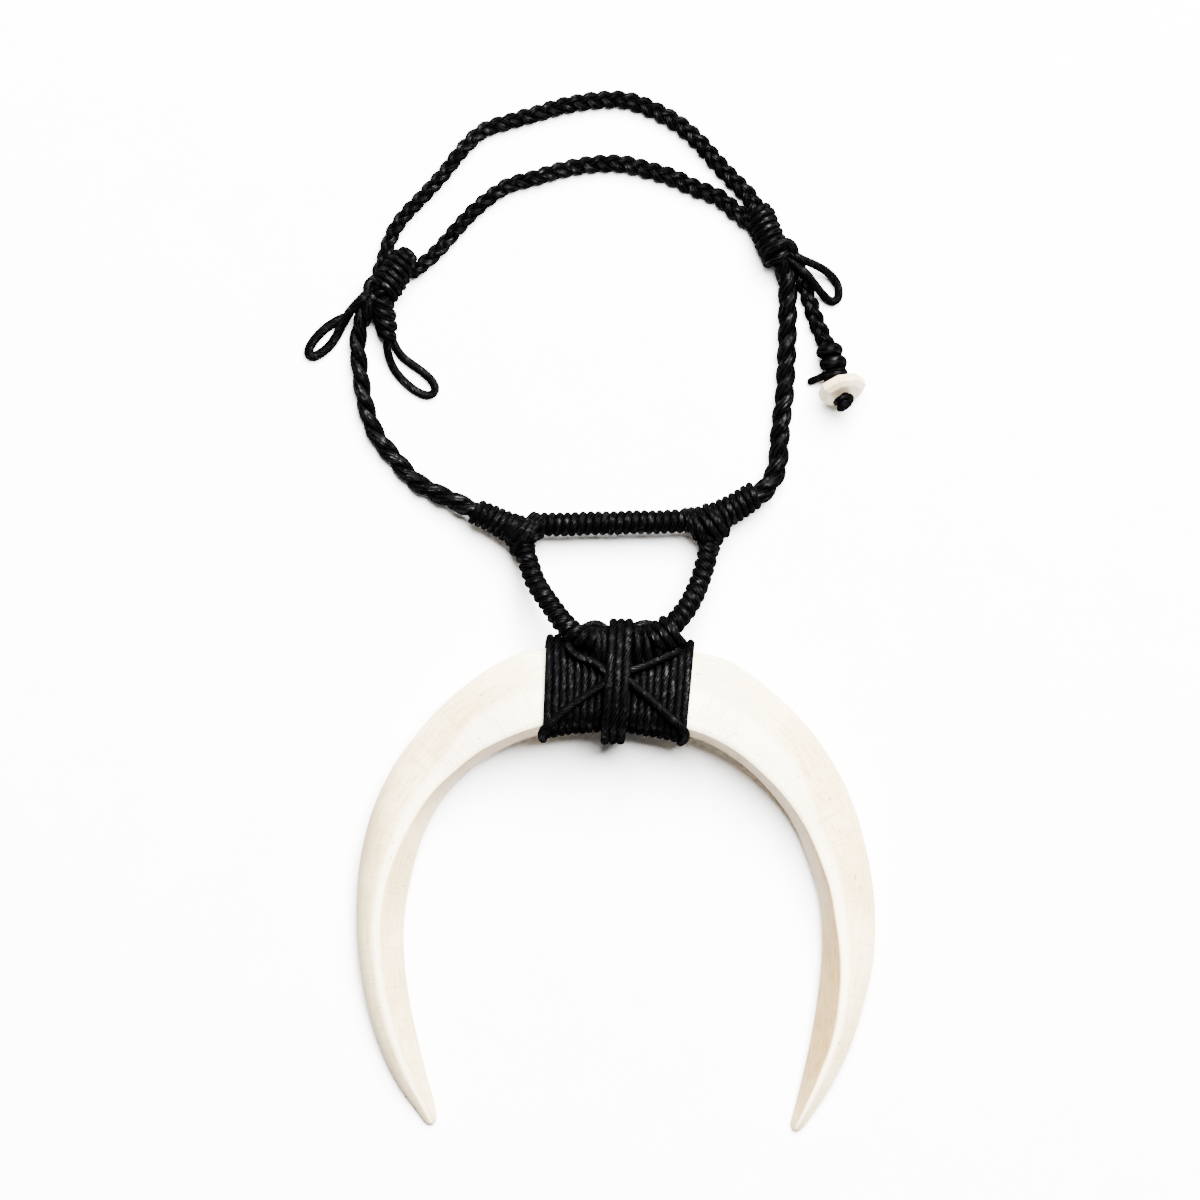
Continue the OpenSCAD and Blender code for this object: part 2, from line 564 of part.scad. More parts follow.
module in_toggle() {
    translate(toggle_at) rotate([0, 90 - toggle_rise, toggle_turn]) children();
}
// Eight-sided bone disc, its edges pared off, drilled for the cord
module toggle_bead() {
    flat = toggle_d*cos(22.5);
    color(bone) in_toggle() difference() {
        translate([0, 0, -toggle_t/2]) cylinder(d = toggle_d, h = toggle_t, $fn = 8);
        translate([0, 0, -toggle_t]) cylinder(d = toggle_bore_d, h = 2*toggle_t);
        for (k = [0:7], face = [-1, 1])
            rotate([0, 0, 22.5 + 45*k]) translate([flat/2, 0, face*toggle_t/2])
                rotate([0, face*toggle_pare, 0])
                    translate([-toggle_t, -toggle_d/2, face > 0 ? -toggle_cut : toggle_cut - toggle_t])
                        cube([2*toggle_t, toggle_d, toggle_t]);
    }
}
module toggle_cord() { color(black) cord(toggle_cord_route, core_d, strand_sides); }
module end_knot() {
    color(soft_black) in_toggle() skin([for (r = end_lobes)
        ring([-r[0], 0, toggle_t/2 + gap + end_d/2], [0, 1, 0], [0, 0, 1], r[1], r[1], cord_sides)]);
}

tusk_left();
tusk_right();
lashing_turns();
band_turns();
side_turns();
cross_cord_left();
cross_cord_right();
yoke_core();
foot_cord();
leg_wrap_left();
leg_wrap_right();
crossbar_core();
crossbar_wrap();
corner_wrap_left();
corner_wrap_right();
whip_left();
whip_right();
rope_left_ply_1();
rope_left_ply_2();
rope_right_ply_1();
rope_right_ply_2();
knot_left();
stub_wrap();
loop_left_outer();
loop_left_inner();
knot_right();
loop_right();
outer_braid_1();
outer_braid_2();
outer_braid_3();
inner_braid_1();
inner_braid_2();
inner_braid_3();
tail_braid_1();
tail_braid_2();
tail_braid_3();
stopper_knot();
cut_end();
toggle_bead();
toggle_cord();
end_knot();
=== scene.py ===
# %% [markdown]
# # A boar tusk necklace, laid flat
# The real thing is a crescent of two tusks, lashed root to root with waxed
# cord, on a yoke of wound cord, two twisted ropes and two braids. The packed
# model already has every piece at its place, but its windings are plain ribbed
# sleeves. They could be kept and given a bump, but a bump doesn't change an
# outline, and cord is all outline. So here each winding, rope and braid is laid
# again as real cord, and each surface gets a finish made of shader nodes.

# %% Load the frame
import math

import bmesh
import bpy
from mathutils import Matrix, Vector


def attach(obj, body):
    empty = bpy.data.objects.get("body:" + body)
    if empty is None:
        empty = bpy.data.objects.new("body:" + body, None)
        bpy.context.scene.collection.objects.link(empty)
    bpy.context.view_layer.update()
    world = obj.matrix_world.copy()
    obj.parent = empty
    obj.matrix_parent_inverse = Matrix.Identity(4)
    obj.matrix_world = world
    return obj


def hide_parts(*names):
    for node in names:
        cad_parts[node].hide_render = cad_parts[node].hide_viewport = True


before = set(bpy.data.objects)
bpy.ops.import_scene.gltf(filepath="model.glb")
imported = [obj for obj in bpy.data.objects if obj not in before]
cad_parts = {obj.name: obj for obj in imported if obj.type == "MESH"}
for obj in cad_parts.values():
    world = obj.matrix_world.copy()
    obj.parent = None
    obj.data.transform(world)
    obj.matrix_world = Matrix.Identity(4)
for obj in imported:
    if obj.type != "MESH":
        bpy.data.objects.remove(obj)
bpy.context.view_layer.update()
print("nodes in the frame:", len(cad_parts))

# %% [markdown]
# ## Camera
# The photograph was taken from straight overhead with a long lens, so that
# nothing leans. A camera without any perspective could show that, but it flattens
# every other view too. A perspective camera four metres up comes close, and its
# lens is worked out so that the picture's side is 312 mm at the cords' height.

# %% Camera
MM = 0.001
PICTURE_SIDE = 312 * MM
PICTURE_MIDDLE = Vector((2.86 * MM, 2.99 * MM, 6 * MM))
CAMERA_HEIGHT = 4.0


def put(name, data):
    """A new object in the scene, with this data."""
    made = bpy.data.objects.new(name, data)
    bpy.context.scene.collection.objects.link(made)
    return made


def make_camera():
    data = bpy.data.cameras.new("overhead_camera")
    data.sensor_width = 36
    data.lens = data.sensor_width * CAMERA_HEIGHT / PICTURE_SIDE
    data.clip_start, data.clip_end = 0.1, 20
    camera = put("overhead_camera", data)
    camera.location = PICTURE_MIDDLE + Vector((0, 0, CAMERA_HEIGHT))
    bpy.context.scene.camera = camera
    return camera


print("lens in mm:", round(make_camera().data.lens))

# %% [markdown]
# ## Shader maths
# A finish is a small sum: so much twist, a little noise, a stain where the
# surface turns away. Wiring it node by node works, but hides the sum. Here a Wire
# is one output of a node, and its operators add the Math nodes, so a finish reads
# as an expression. Finish holds the material and adds any other node.


# %% Wires that add up
class Wire:
    """One output of a node, which adds and multiplies like a number."""

    def __init__(self, finish, socket):
        self.finish, self.socket = finish, socket

    def _sum(self, operation, *terms):
        return self.finish.add("ShaderNodeMath", {"operation": operation}, dict(enumerate(terms)))

    def __add__(self, other):
        return self._sum("ADD", self, other)

    def __sub__(self, other):
        return self._sum("SUBTRACT", self, other)

    def __rsub__(self, other):
        return self._sum("SUBTRACT", other, self)

    def __mul__(self, other):
        return self._sum("MULTIPLY", self, other)

    def __pow__(self, other):
        return self._sum("POWER", self, other)

    __radd__, __rmul__ = __add__, __mul__

    def sine(self):
        return self._sum("SINE", self)

    def cosine(self):
        return self._sum("COSINE", self)

    def size(self):
        return self._sum("ABSOLUTE", self)

    def at_most(self, other):
        return self._sum("MINIMUM", self, other)

    def rise(self, low, high):
        """A soft step from 0 at low to 1 at high."""
        return self.finish.add(
            "ShaderNodeMapRange",
            {"interpolation_type": "SMOOTHSTEP"},
            {"Value": self, "From Min": low, "From Max": high},
        )


WAX_GLINT = (0.5, 0.49, 0.51, 1)
BLACK_EDGE = (0, 0, 0, 1)


class Finish:
    """A material, and the one way in which its nodes are added."""

    def __init__(self, name):
        self.material = bpy.data.materials.new(name)
        self.material.use_nodes = True
        self.tree = self.material.node_tree
        self.tree.nodes.clear()

    def add(self, kind, settings=None, sockets=None, take=0):
        node = self.tree.nodes.new(kind)
        for key, value in (settings or {}).items():
            setattr(node, key, value)
        for key, value in (sockets or {}).items():
            if isinstance(value, Wire):
                self.tree.links.new(value.socket, node.inputs[key])
            else:
                node.inputs[key].default_value = value
        return Wire(self, node.outputs[take]) if node.outputs else None

    def split(self, vector):
        first = self.add("ShaderNodeSeparateXYZ", None, {0: vector})
        return [Wire(self, part) for part in first.socket.node.outputs]

    def join(self, x, y, z):
        return self.add("ShaderNodeCombineXYZ", None, {0: x, 1: y, 2: z})

    def noise(self, where, scale, detail=3.0, roughness=0.5):
        sockets = {"Vector": where, "Scale": scale, "Detail": detail, "Roughness": roughness}
        return self.add("ShaderNodeTexNoise", None, sockets)

    def blend(self, share, first, second):
        """A colour between two, by share."""
        colours = [c if isinstance(c, Wire) else (*c, 1) for c in (first, second)]
        sockets = {0: share, 6: colours[0], 7: colours[1]}
        return self.add("ShaderNodeMix", {"data_type": "RGBA"}, sockets, take=2)

    def skin(self, colour, roughness, bump, more):
        sockets = {"Base Color": colour, "Roughness": roughness, "Normal": bump, **more}
        return self.add("ShaderNodeBsdfPrincipled", None, sockets)

    def finish(self, colour, roughness, height, depth, strength=1.0, shine=0.0, polish=0.5):
        """Joins the sums to a surface. Its relief is height times depth, in metres, and
        polish is how strongly it mirrors. With a shine, the surface is dead matt instead,
        and that share of it is bare wax that mirrors like metal but goes black towards
        the cord's edges, because a plain gloss would turn them grey on a white table."""
        relief = {"Height": height, "Distance": depth, "Strength": strength}
        bump = self.add("ShaderNodeBump", None, relief)
        if shine:
            matt = self.skin(colour, 1.0, bump, {"Specular IOR Level": 0.0})
            edge = {"Metallic": 1.0, "Specular Tint": BLACK_EDGE}
            wax = self.skin(WAX_GLINT, roughness, bump, edge)
            surface = self.add("ShaderNodeMixShader", None, {0: shine, 1: matt, 2: wax})
        else:
            surface = self.skin(colour, roughness, bump, {"Specular IOR Level": polish})
        self.add("ShaderNodeOutputMaterial", None, {"Surface": surface})
        return self.material


# %% [markdown]
# ## Waxed cord
# The cord is a few yarns twisted hard and drawn through black wax. The wax
# leaves a soft sheen, and the light catches the crowns of the yarns, so the
# cord shows short slanted glints. The yarns could be modelled, at millions of
# faces, or noise on Object coordinates could stand for them, but it wouldn't
# turn with the cord. So the twist is a cosine on the piece's own UV map: U is the
# millimetres run along the cord, and V goes once round it. The number of yarns,
# their lay (the millimetres in which one goes once round) and the gloss differ a
# little between windings, ropes, braids and knots.


# %% Waxed cord
FULL_TURN = 2 * math.pi
# Painted shade for the hollows between the yarns, and painted light for their crowns.
CORD_HOLLOW_SHADE = (0.0001, 0.0001, 0.0001)
CORD_CROWN_LIGHT = (0.0011, 0.0010, 0.0011)
YARN_DEPTH = 0.35 * MM
GLINT = 0.017


def make_waxed_cord(name, yarns=8, lay=14.0, gloss=0.0012, relief=1.0):
    f = Finish(name)
    run, around, _ = f.split(f.add("ShaderNodeUVMap", {"uv_map": "UVMap"}))
    wobble = f.noise(f.join(run * 0.4, 3.7, 0.0), 1.0, 2.0) * 0.12
    slant = run * (1 / lay) + around + wobble
    crown = (slant * (FULL_TURN * yarns)).cosine() * 0.5 + 0.5
    angle = slant * FULL_TURN
    fibre_at = f.join(run * 0.2, angle.cosine() * 1.4, angle.sine() * 1.4)
    fibre = f.noise(fibre_at, 3.0, 3.0, 0.55)
    patch = f.noise(f.join(run * 0.45, around * 2.0, 8.0), 1.3, 2.0)
    height = (crown**0.6) * 0.16 + fibre * 0.7 + patch * 0.1
    # Painted light and shade: the base colour is lighter on the yarns' crowns and darker in the hollows
    # between them, and the fibre noise adds real tone.
    lit = (fibre * 0.9 + crown * 0.5 - 0.3).rise(0.1, 0.9)
    colour = f.blend(lit, CORD_HOLLOW_SHADE, CORD_CROWN_LIGHT)
    roughness = 0.26 + (patch - 0.5) * 0.3
    shine = (fibre + patch * 0.6).rise(0.84, 1.02) * GLINT + gloss
    return f.finish(colour, roughness, height, YARN_DEPTH * relief, 1.0, shine)


waxed_cord = make_waxed_cord("waxed_cord")
left_ply = make_waxed_cord("left_rope_yarn", yarns=9, lay=16.0, gloss=0.0013)
right_ply = make_waxed_cord("right_rope_yarn", yarns=9, lay=-16.0, gloss=0.001)
strand_cord = make_waxed_cord("braid_yarn", yarns=6, lay=16.0, gloss=0.001)
knot_cord = make_waxed_cord("knot_cord", yarns=7, lay=24.0, relief=0.55)
for cord in (waxed_cord, left_ply, right_ply, strand_cord, knot_cord):
    print(cord.name, "has", len(cord.node_tree.nodes), "nodes")


# %% [markdown]
# ## Cord inside the windings
# The yoke's cord, the crossbar's core and the cord through the toggle hardly
# show. They could be laid again too, but nobody would see it. They stay as the
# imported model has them, and have no UV map, so their wax is a plain grain on
# Object coordinates.


# %% Cord inside the windings
INNER_DARK = (0.001, 0.001, 0.0012)
INNER_LIGHT = (0.004, 0.0038, 0.0044)


def make_inner_cord():
    f = Finish("inner_cord")
    where = f.add("ShaderNodeTexCoord", take="Object")
    grain = f.noise(where, 1400.0, 4.0, 0.6)
    colour = f.blend(grain.rise(0.35, 0.7), INNER_DARK, INNER_LIGHT)
    roughness = 0.5 + (grain - 0.5) * 0.3
    return f.finish(colour, roughness, grain, 0.2 * MM, shine=0.0008)


inner_cord = make_inner_cord()


def wear(node, material):
    """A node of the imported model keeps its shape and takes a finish."""
    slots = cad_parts[node].data.materials
    slots.clear()
    slots.append(material)


for node in ("yoke_core", "crossbar_core", "toggle_cord"):
    wear(node, inner_cord)
    print(node, "wears", inner_cord.name)

# %% [markdown]
# ## Routes
# Every cord here follows a few given points, in millimetres, close to the ones
# that the imported model was built on. Blender's own curve with a round bevel would
# follow them too, but it can't press a cord oval or lay a UV map in millimetres.
# So a smooth curve through the points is walked at an even pace instead, and a
# ring of the cord is set at each step.


# %% Walking a curve
def route(*rows):
    return [Vector(row) * MM for row in rows]


def on_curve(points, u):
    """A place on the smooth cubic through the points, with u counted in points."""
    last = len(points) - 1
    i = max(0, min(math.floor(u), last - 1))
    t = u - i
    a, b, c, d = (points[max(0, min(k, last))] for k in (i - 1, i, i + 1, i + 2))
    bend = 2 * a - 5 * b + 4 * c - d
    twist = 3 * b - a - 3 * c + d
    return (2 * b + (c - a) * t + bend * t**2 + twist * t**3) / 2


def walk(points, steps, first=0.0, upto=None, parts=12):
    """Evenly paced places on the part of the curve from first to upto. The curve's
    length is measured in so many parts between one point and the next."""
    upto = len(points) - 1 if upto is None else upto
    fine = max(2, math.ceil((upto - first) * parts))
    us = [first + (upto - first) * k / fine for k in range(fine + 1)]
    spots = [on_curve(points, u) for u in us]
    runs = [0.0]
    for before, after in zip(spots, spots[1:]):
        runs.append(runs[-1] + (after - before).length)
    placed, k = [], 0
    for n in range(steps + 1):
        goal = runs[-1] * n / steps
        while k < fine - 1 and runs[k + 1] < goal:
            k += 1
        share = (goal - runs[k]) / max(runs[k + 1] - runs[k], 1e-12)
        placed.append(on_curve(points, us[k] + (us[k + 1] - us[k]) * share))
    return placed


def length(points):
    return sum((b - a).length for a, b in zip(points, points[1:]))


def heading(points, k):
    return (points[min(k + 1, len(points) - 1)] - points[max(k - 1, 0)]).normalized()


# %% [markdown]
# ## Laying a cord
# A cord is a ring of a few sides, drawn along its walk. Spin makes such a tube
# round one axis only, so the bmesh starts from one circle, and each step extrudes
# the circle's edges and sets the new ring in place, across the way the cord goes.
# The spoke number that each vertex holds is copied by the extrusion, so it tells
# where round the cord the vertex lies, and the UV map follows from it. Both ends
# are drawn in by two smaller rings and closed.

# %% Laying a cord
SKY = Vector((0, 0, 1))
WAX = 0.1 * MM
ROUNDED_END = ((0.86, 0.2), (0.45, 0.36))


def settings_across(points, up):
    """For each point, the turn and place of a ring set across the cord. The ring's
    high side faces up, which may be a list of one direction for each point."""
    placed = []
    for k, spot in enumerate(points):
        ahead = heading(points, k)
        above = up[k] if isinstance(up, list) else up
        side = ahead.cross(above).normalized()
        high = side.cross(ahead)
        placed.append(Matrix.Translation(spot) @ Matrix((side, high, ahead)).transposed().to_4x4())
    return placed


def first_ring(bm, sides, spoke):
    """A circle whose vertices hold their number round it, and the circle's edges."""
    ring = bmesh.ops.create_circle(bm, cap_ends=False, segments=sides, radius=1.0)["verts"]
    for n, vert in enumerate(sorted(ring, key=lambda v: math.atan2(v.co.y, v.co.x))):
        vert[spoke] = n
    return ring, list(dict.fromkeys(edge for vert in ring for edge in vert.link_edges))


def next_ring(bm, edges):
    """Extrudes a ring's edges into a new ring, and gives that ring and its edges."""
    grown = bmesh.ops.extrude_edge_only(bm, edges=edges)["geom"]
    ring = [g for g in grown if isinstance(g, bmesh.types.BMVert)]
    return ring, [g for g in grown if isinstance(g, bmesh.types.BMEdge) and g.is_boundary]


def lay_cord(bm, points, wide, high=None, sides=10, up=SKY):
    """Draws a cord, wide to the side and high along up, through the points. Either
    size may be a list, one for each point, where the cord swells or thins, and the
    wax comes on top of it."""
    wides = wide if isinstance(wide, list) else [wide] * len(points)
    highs = high if isinstance(high, list) else [high or w for w in wides]
    wides, highs = ([size + 2 * WAX for size in sizes] for sizes in (wides, highs))
    spoke = bm.verts.layers.int.get("spoke") or bm.verts.layers.int.new("spoke")
    ran = bm.verts.layers.float.get("ran") or bm.verts.layers.float.new("ran")
    sheet = bm.loops.layers.uv.get("UVMap") or bm.loops.layers.uv.new("UVMap")
    placed = settings_across(points, up)
    rings = list(zip(placed, wides, highs))
    for share, past in ROUNDED_END:
        for end, way in ((0, -1), (-1, 1)):
            push = Matrix.Translation((0, 0, way * past * wides[end]))
            smaller = (placed[end] @ push, wides[end] * share, highs[end] * share)
            rings.insert(len(rings) if end else 0, smaller)
    ring, edges = first_ring(bm, sides, spoke)
    open_end, run, before = edges, 0.0, None
    for place, across, above in rings:
        if before is not None:
            run += (place.translation - before).length / MM
            ring, edges = next_ring(bm, edges)
        before = place.translation
        for vert in ring:
            turn = FULL_TURN * vert[spoke] / sides
            spot = (math.cos(turn) * across / 2, math.sin(turn) * above / 2, 0)
            vert.co = place @ Vector(spot)
            vert[ran] = run
        for face in {f for vert in ring for f in vert.link_faces}:
            seam = {loop.vert[spoke] for loop in face.loops} == {0, sides - 1}
            for loop in face.loops:
                n = loop.vert[spoke]
                loop[sheet].uv = (loop.vert[ran], (sides if seam and n == 0 else n) / sides)
    bmesh.ops.edgeloop_fill(bm, edges=edges)
    bmesh.ops.edgeloop_fill(bm, edges=open_end)


def cord_along(bm, points, wide, high=None, sides=10, up=SKY, pace=1.0):
    """A cord through given points, with a ring every pace millimetres."""
    rough = length(walk(points, 4 * len(points)))
    steps = max(4, math.ceil(rough / (pace * MM)))
    lay_cord(bm, walk(points, steps), wide, high, sides, up)


def piece(name, node, bm, material=waxed_cord):
    """Turns a bmesh into a piece that rides on the necklace, in place of its node."""
    bmesh.ops.recalc_face_normals(bm, faces=bm.faces)
    for face in bm.faces:
        face.smooth = True
    mesh = bpy.data.meshes.new(name)
    bm.to_mesh(mesh)
    bm.free()
    mesh.materials.append(material)
    made = put(name, mesh)
    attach(made, "root")
    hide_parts(node)
    print(name, "has", sum(len(p.vertices) - 2 for p in mesh.polygons), "triangles")
    return made


def laid_cord(node, line, thick, sides=10, pace=1.0):
    """A piece of one plain cord, in place of its node."""
    bm = bmesh.new()
    cord_along(bm, line, thick * MM, sides=sides, pace=pace)
    return piece(node + "_laid", node, bm)


# %% [markdown]
# ## Winding
# Whippings, coils, the legs and the crossbar are all one cord wound side by
# side round a spine. A Screw modifier winds round a straight axis only, and these
# spines bend and their windings swell. So the cord's middle is worked out here:
# it goes round the spine as it goes along, and its flat side always faces
# outward. A slow waver in its reach keeps the turns from looking machine-made.

# %% Winding
PRESSED = 0.86
TOUCHING = 0.95
CORE_INSET = 1.3
THINNEST_CORE = 0.8


def round_spine(points, k):
    """The directions ahead, to the side and up at one place of a spine."""
    ahead = heading(points, k)
    side = ahead.cross(SKY).normalized()
    return ahead, side, side.cross(ahead)


def wind(bm, spine, turns, outer, cord, start=0.0, hand=1, per_turn=16, waver=0.03, lean=0.0, nod=0.0):
    """Winds cord round a spine of points; outer is the finished diameter along it.
    Pulled tight, the cord is pressed into an oval that all but fills its share of the
    spine. With a lean, the turns lie slanted across the spine; with a nod, their
    crowns are pushed along it. A plain core fills the inside."""
    steps = math.ceil(turns * per_turn)
    thick = PRESSED * cord
    wide = TOUCHING * length(walk(spine, 60)) / MM / turns
    middle = walk(spine, steps)
    widths = [Vector((w, 0)) for w in outer]
    last, stops = len(widths) - 1, 4 * len(outer)
    inner = [on_curve(widths, k / stops * last)[0] - CORE_INSET * cord for k in range(stops + 1)]
    lay_cord(bm, walk(spine, stops), [max(THINNEST_CORE, w) * MM for w in inner])
    places, outward = [], []
    for k in range(steps + 1):
        u = k / steps
        ahead, side, high = round_spine(middle, k)
        angle = start + hand * FULL_TURN * turns * u
        out = side * math.cos(angle) + high * math.sin(angle)
        reach = (on_curve(widths, u * last)[0] - thick) / 2
        reach *= 1 + waver * math.sin(2.6 * angle / math.pi + start)
        along = ahead * (lean * math.cos(angle) + nod * math.sin(angle))
        places.append(middle[k] + (out + along) * reach * MM)
        outward.append(out)
    lay_cord(bm, places, wide * MM, thick * MM, 10, outward)


STRAP_STEPS = 14


def strap(bm, a, b, base, top, wide=2.0, sag=0.0):
    """A cord that comes up at a, arches over and goes down at b, bowed sideways by sag."""
    a, b = Vector((*a, 0)), Vector((*b, 0))
    outward = (b - a).cross(SKY).normalized()
    spots = []
    for k in range(STRAP_STEPS + 1):
        angle = math.pi * k / STRAP_STEPS
        flat = (a + b) / 2 - (b - a) / 2 * math.cos(angle) + outward * sag * math.sin(angle)
        height = base + (top - base) * math.sin(angle) ** 0.8
        spots.append(Vector((flat.x, flat.y, height)) * MM)
    lay_cord(bm, spots, wide * MM, None, 9, outward)


def straight(a, b, inset=0.9):
    """A spine from a to b, drawn in at both ends by half a cord."""
    a, b = Vector(a) * MM, Vector(b) * MM
    step = (b - a).normalized() * inset * MM
    return [a + step, (a * 2 + b) / 3, (a + b * 2) / 3, b - step]


# %% [markdown]
# ## Tusks
# A boar's tusk is a curved three-sided tooth: a domed outer face, a narrow
# facet along the inside of the curve, and a plain underside. Near the tip it is
# worn, so the dome becomes a steep flank with a narrow flat beside the ridge. The
# section changes all the way along, so a spin or a bent cylinder won't do. A ring
# of edges is extruded from station to station instead, and set to the section
# that the station's row gives: its middle in x and y, its width, its share of the
# thickness, where across the width the ridge lies, and its share of the rise,
# since the roots are lifted by the lashing under them.

# %% Tusk sections
LEFT_TUSK = [
    (6.8, -19.2, 20.2, 1.00, 0.90, 1.00),
    (-5, -19.1, 20.0, 1.00, 0.90, 1.00),
    (-10.3, -19.6, 20.2, 1.00, 0.90, 0.98),
    (-13.5, -20.7, 21.8, 1.00, 0.90, 0.95),
    (-20, -23.3, 21.0, 0.99, 0.89, 0.85),
    (-26.2, -26.8, 19.4, 0.97, 0.88, 0.70),
    (-32.6, -31.3, 17.9, 0.94, 0.86, 0.52),
    (-38.8, -37.4, 16.4, 0.90, 0.84, 0.34),
    (-44.8, -45.0, 15.4, 0.86, 0.78, 0.18),
    (-49.8, -55.2, 14.7, 0.82, 0.70, 0.06),
    (-53.0, -67.4, 13.8, 0.77, 0.58, 0.00),
    (-54.3, -80.0, 12.5, 0.71, 0.49, 0.00),
    (-53.9, -91.0, 11.8, 0.65, 0.48, 0.00),
    (-52.0, -102.6, 11.0, 0.58, 0.47, 0.00),
    (-49.2, -112.8, 9.8, 0.50, 0.48, 0.00),
    (-45.9, -121.6, 7.7, 0.40, 0.48, 0.00),
    (-42.7, -128.4, 5.1, 0.26, 0.48, 0.02),
    (-41.1, -132.3, 3.2, 0.14, 0.50, 0.05),
    (-40.6, -133.4, 0.8, 0.05, 0.50, 0.08),
]
RIGHT_TUSK = [
    (7.2, -19.2, 20.2, 1.00, 0.91, 1.00),
    (18, -19.6, 20.8, 1.00, 0.91, 1.00),
    (30.2, -22.3, 22.0, 1.00, 0.91, 0.93),
    (36.6, -25.4, 21.0, 0.99, 0.91, 0.84),
    (43.4, -30.2, 19.7, 0.97, 0.90, 0.70),
    (49.6, -35.9, 18.8, 0.94, 0.90, 0.52),
    (55.1, -42.6, 17.8, 0.91, 0.88, 0.34),
    (59.5, -49.7, 16.7, 0.88, 0.86, 0.20),
    (62.9, -57.7, 15.9, 0.84, 0.82, 0.08),
    (66.3, -70.0, 14.6, 0.79, 0.77, 0.00),
    (67.4, -80.2, 14.0, 0.74, 0.72, 0.00),
    (67.1, -91.0, 13.4, 0.68, 0.61, 0.00),
    (65.2, -102.4, 12.0, 0.61, 0.50, 0.00),
    (62.7, -112.4, 10.4, 0.52, 0.45, 0.00),
    (59.4, -121.8, 8.0, 0.42, 0.48, 0.00),
    (56.0, -129.6, 5.1, 0.27, 0.50, 0.02),
    (53.9, -133.9, 3.2, 0.14, 0.50, 0.05),
    (53.3, -134.9, 0.8, 0.05, 0.50, 0.08),
]
ROOT_THICK, MIDDLE_THICK, ROOT_RISE = 14.5, 11.5, 4.4
MIDDLE_SHARE = 0.77
OUTER_EDGE, INNER_EDGE = 0.42, 0.36
FLANK_WIDE, FLANK_HIGH = 0.6, 0.92


def between(a, b, t):
    return a + (b - a) * t


def worn_flank(across):
    """The height of a worn dome: a steep flank, then a narrow flat up to the ridge."""
    if across < FLANK_WIDE:
        return FLANK_HIGH * (across / FLANK_WIDE) ** 0.85
    return between(FLANK_HIGH, 1, (across - FLANK_WIDE) / (1 - FLANK_WIDE))


def tusk_section(wide, thick, ridge, faces=(6, 3, 6), worn=0.0):
    """Places round a tusk, each with its distance from the outer edge, its height and
    the part it lies on: 0 to 1 over the dome, 1 to 2 over the facet, 2 to 3 under."""
    out_edge, in_edge = OUTER_EDGE * thick, INNER_EDGE * thick
    dome, facet, under = faces
    spots = []
    for k in range(dome + 1):
        a = math.pi / 2 * k / dome
        across = 1 - math.cos(a)
        rounded = between(math.sin(a) ** 0.8, worn_flank(across), worn)
        spots.append((ridge * wide * across, between(out_edge, thick, rounded), k / dome))
    for k in range(1, facet + 1):
        u = k / facet
        spots.append((between(ridge * wide, wide, u), between(thick, in_edge, u**1.35), 1 + u))
    for k in range(1, under + 1):
        u = k / (under + 1)
        across = wide * (1 + math.cos(math.pi * u)) / 2
        height = between(in_edge, out_edge, u) * (1 - math.sin(math.pi * u) ** 0.75)
        spots.append((across, height, 2 + u))
    return spots


def tusk_thickness(share):
    if share >= MIDDLE_SHARE:
        return between(MIDDLE_THICK, ROOT_THICK, (share - MIDDLE_SHARE) / (1 - MIDDLE_SHARE))
    return MIDDLE_THICK * share / MIDDLE_SHARE


# %% Tusks
STATIONS = 96
TUSK_FACES = (18, 12, 18)
WEAR_FROM, WEAR_OVER = 4, 6


def across_tusk(rows, u, way_out):
    """The direction from the inside of the tusk's curve to its outside."""
    ahead = on_curve(rows, min(u + 0.2, len(rows) - 1))
    behind = on_curve(rows, max(u - 0.2, 0))
    way = Vector((ahead[0] - behind[0], ahead[1] - behind[1])).normalized()
    if u < 1:
        way = Vector((way_out, 0))
    return Vector((-way.y, way.x)) * way_out


def make_tusk(name, rows, way_out, material):
    rows = [Vector(row) for row in rows]
    last = len(rows) - 1
    bm = bmesh.new()
    spoke = bm.verts.layers.int.new("spoke")
    sheet = bm.loops.layers.uv.new("UVMap")
    around = len(tusk_section(1, 1, 0.5, TUSK_FACES))
    ring, edges = first_ring(bm, around, spoke)
    root_end = edges
    for n in range(STATIONS + 1):
        u = last * n / STATIONS
        row = on_curve(rows, u)
        out = across_tusk(rows, u, way_out)
        worn = max(0.0, min(1.0, (u - WEAR_FROM) / WEAR_OVER))
        spots = tusk_section(row[2], tusk_thickness(row[3]), row[4], TUSK_FACES, worn)
        if n:
            ring, edges = next_ring(bm, edges)
        for vert in ring:
            across, height, _ = spots[vert[spoke]]
            flat = Vector((row[0], row[1])) + out * (row[2] / 2 - across)
            vert.co = Vector((flat.x, flat.y, height + ROOT_RISE * max(row[5], 0))) * MM
        ring_now = set(ring)
        for face in {f for vert in ring for f in vert.link_faces}:
            seam = {0, around - 1} <= {loop.vert[spoke] for loop in face.loops}
            for loop in face.loops:
                part = spots[loop.vert[spoke]][2]
                part = 3.0 if seam and loop.vert[spoke] == 0 else part
                down = u if loop.vert in ring_now else u - last / STATIONS
                loop[sheet].uv = (down, part)
    bmesh.ops.edgeloop_fill(bm, edges=edges)
    bmesh.ops.edgeloop_fill(bm, edges=root_end)
    return piece(name, name, bm, material)
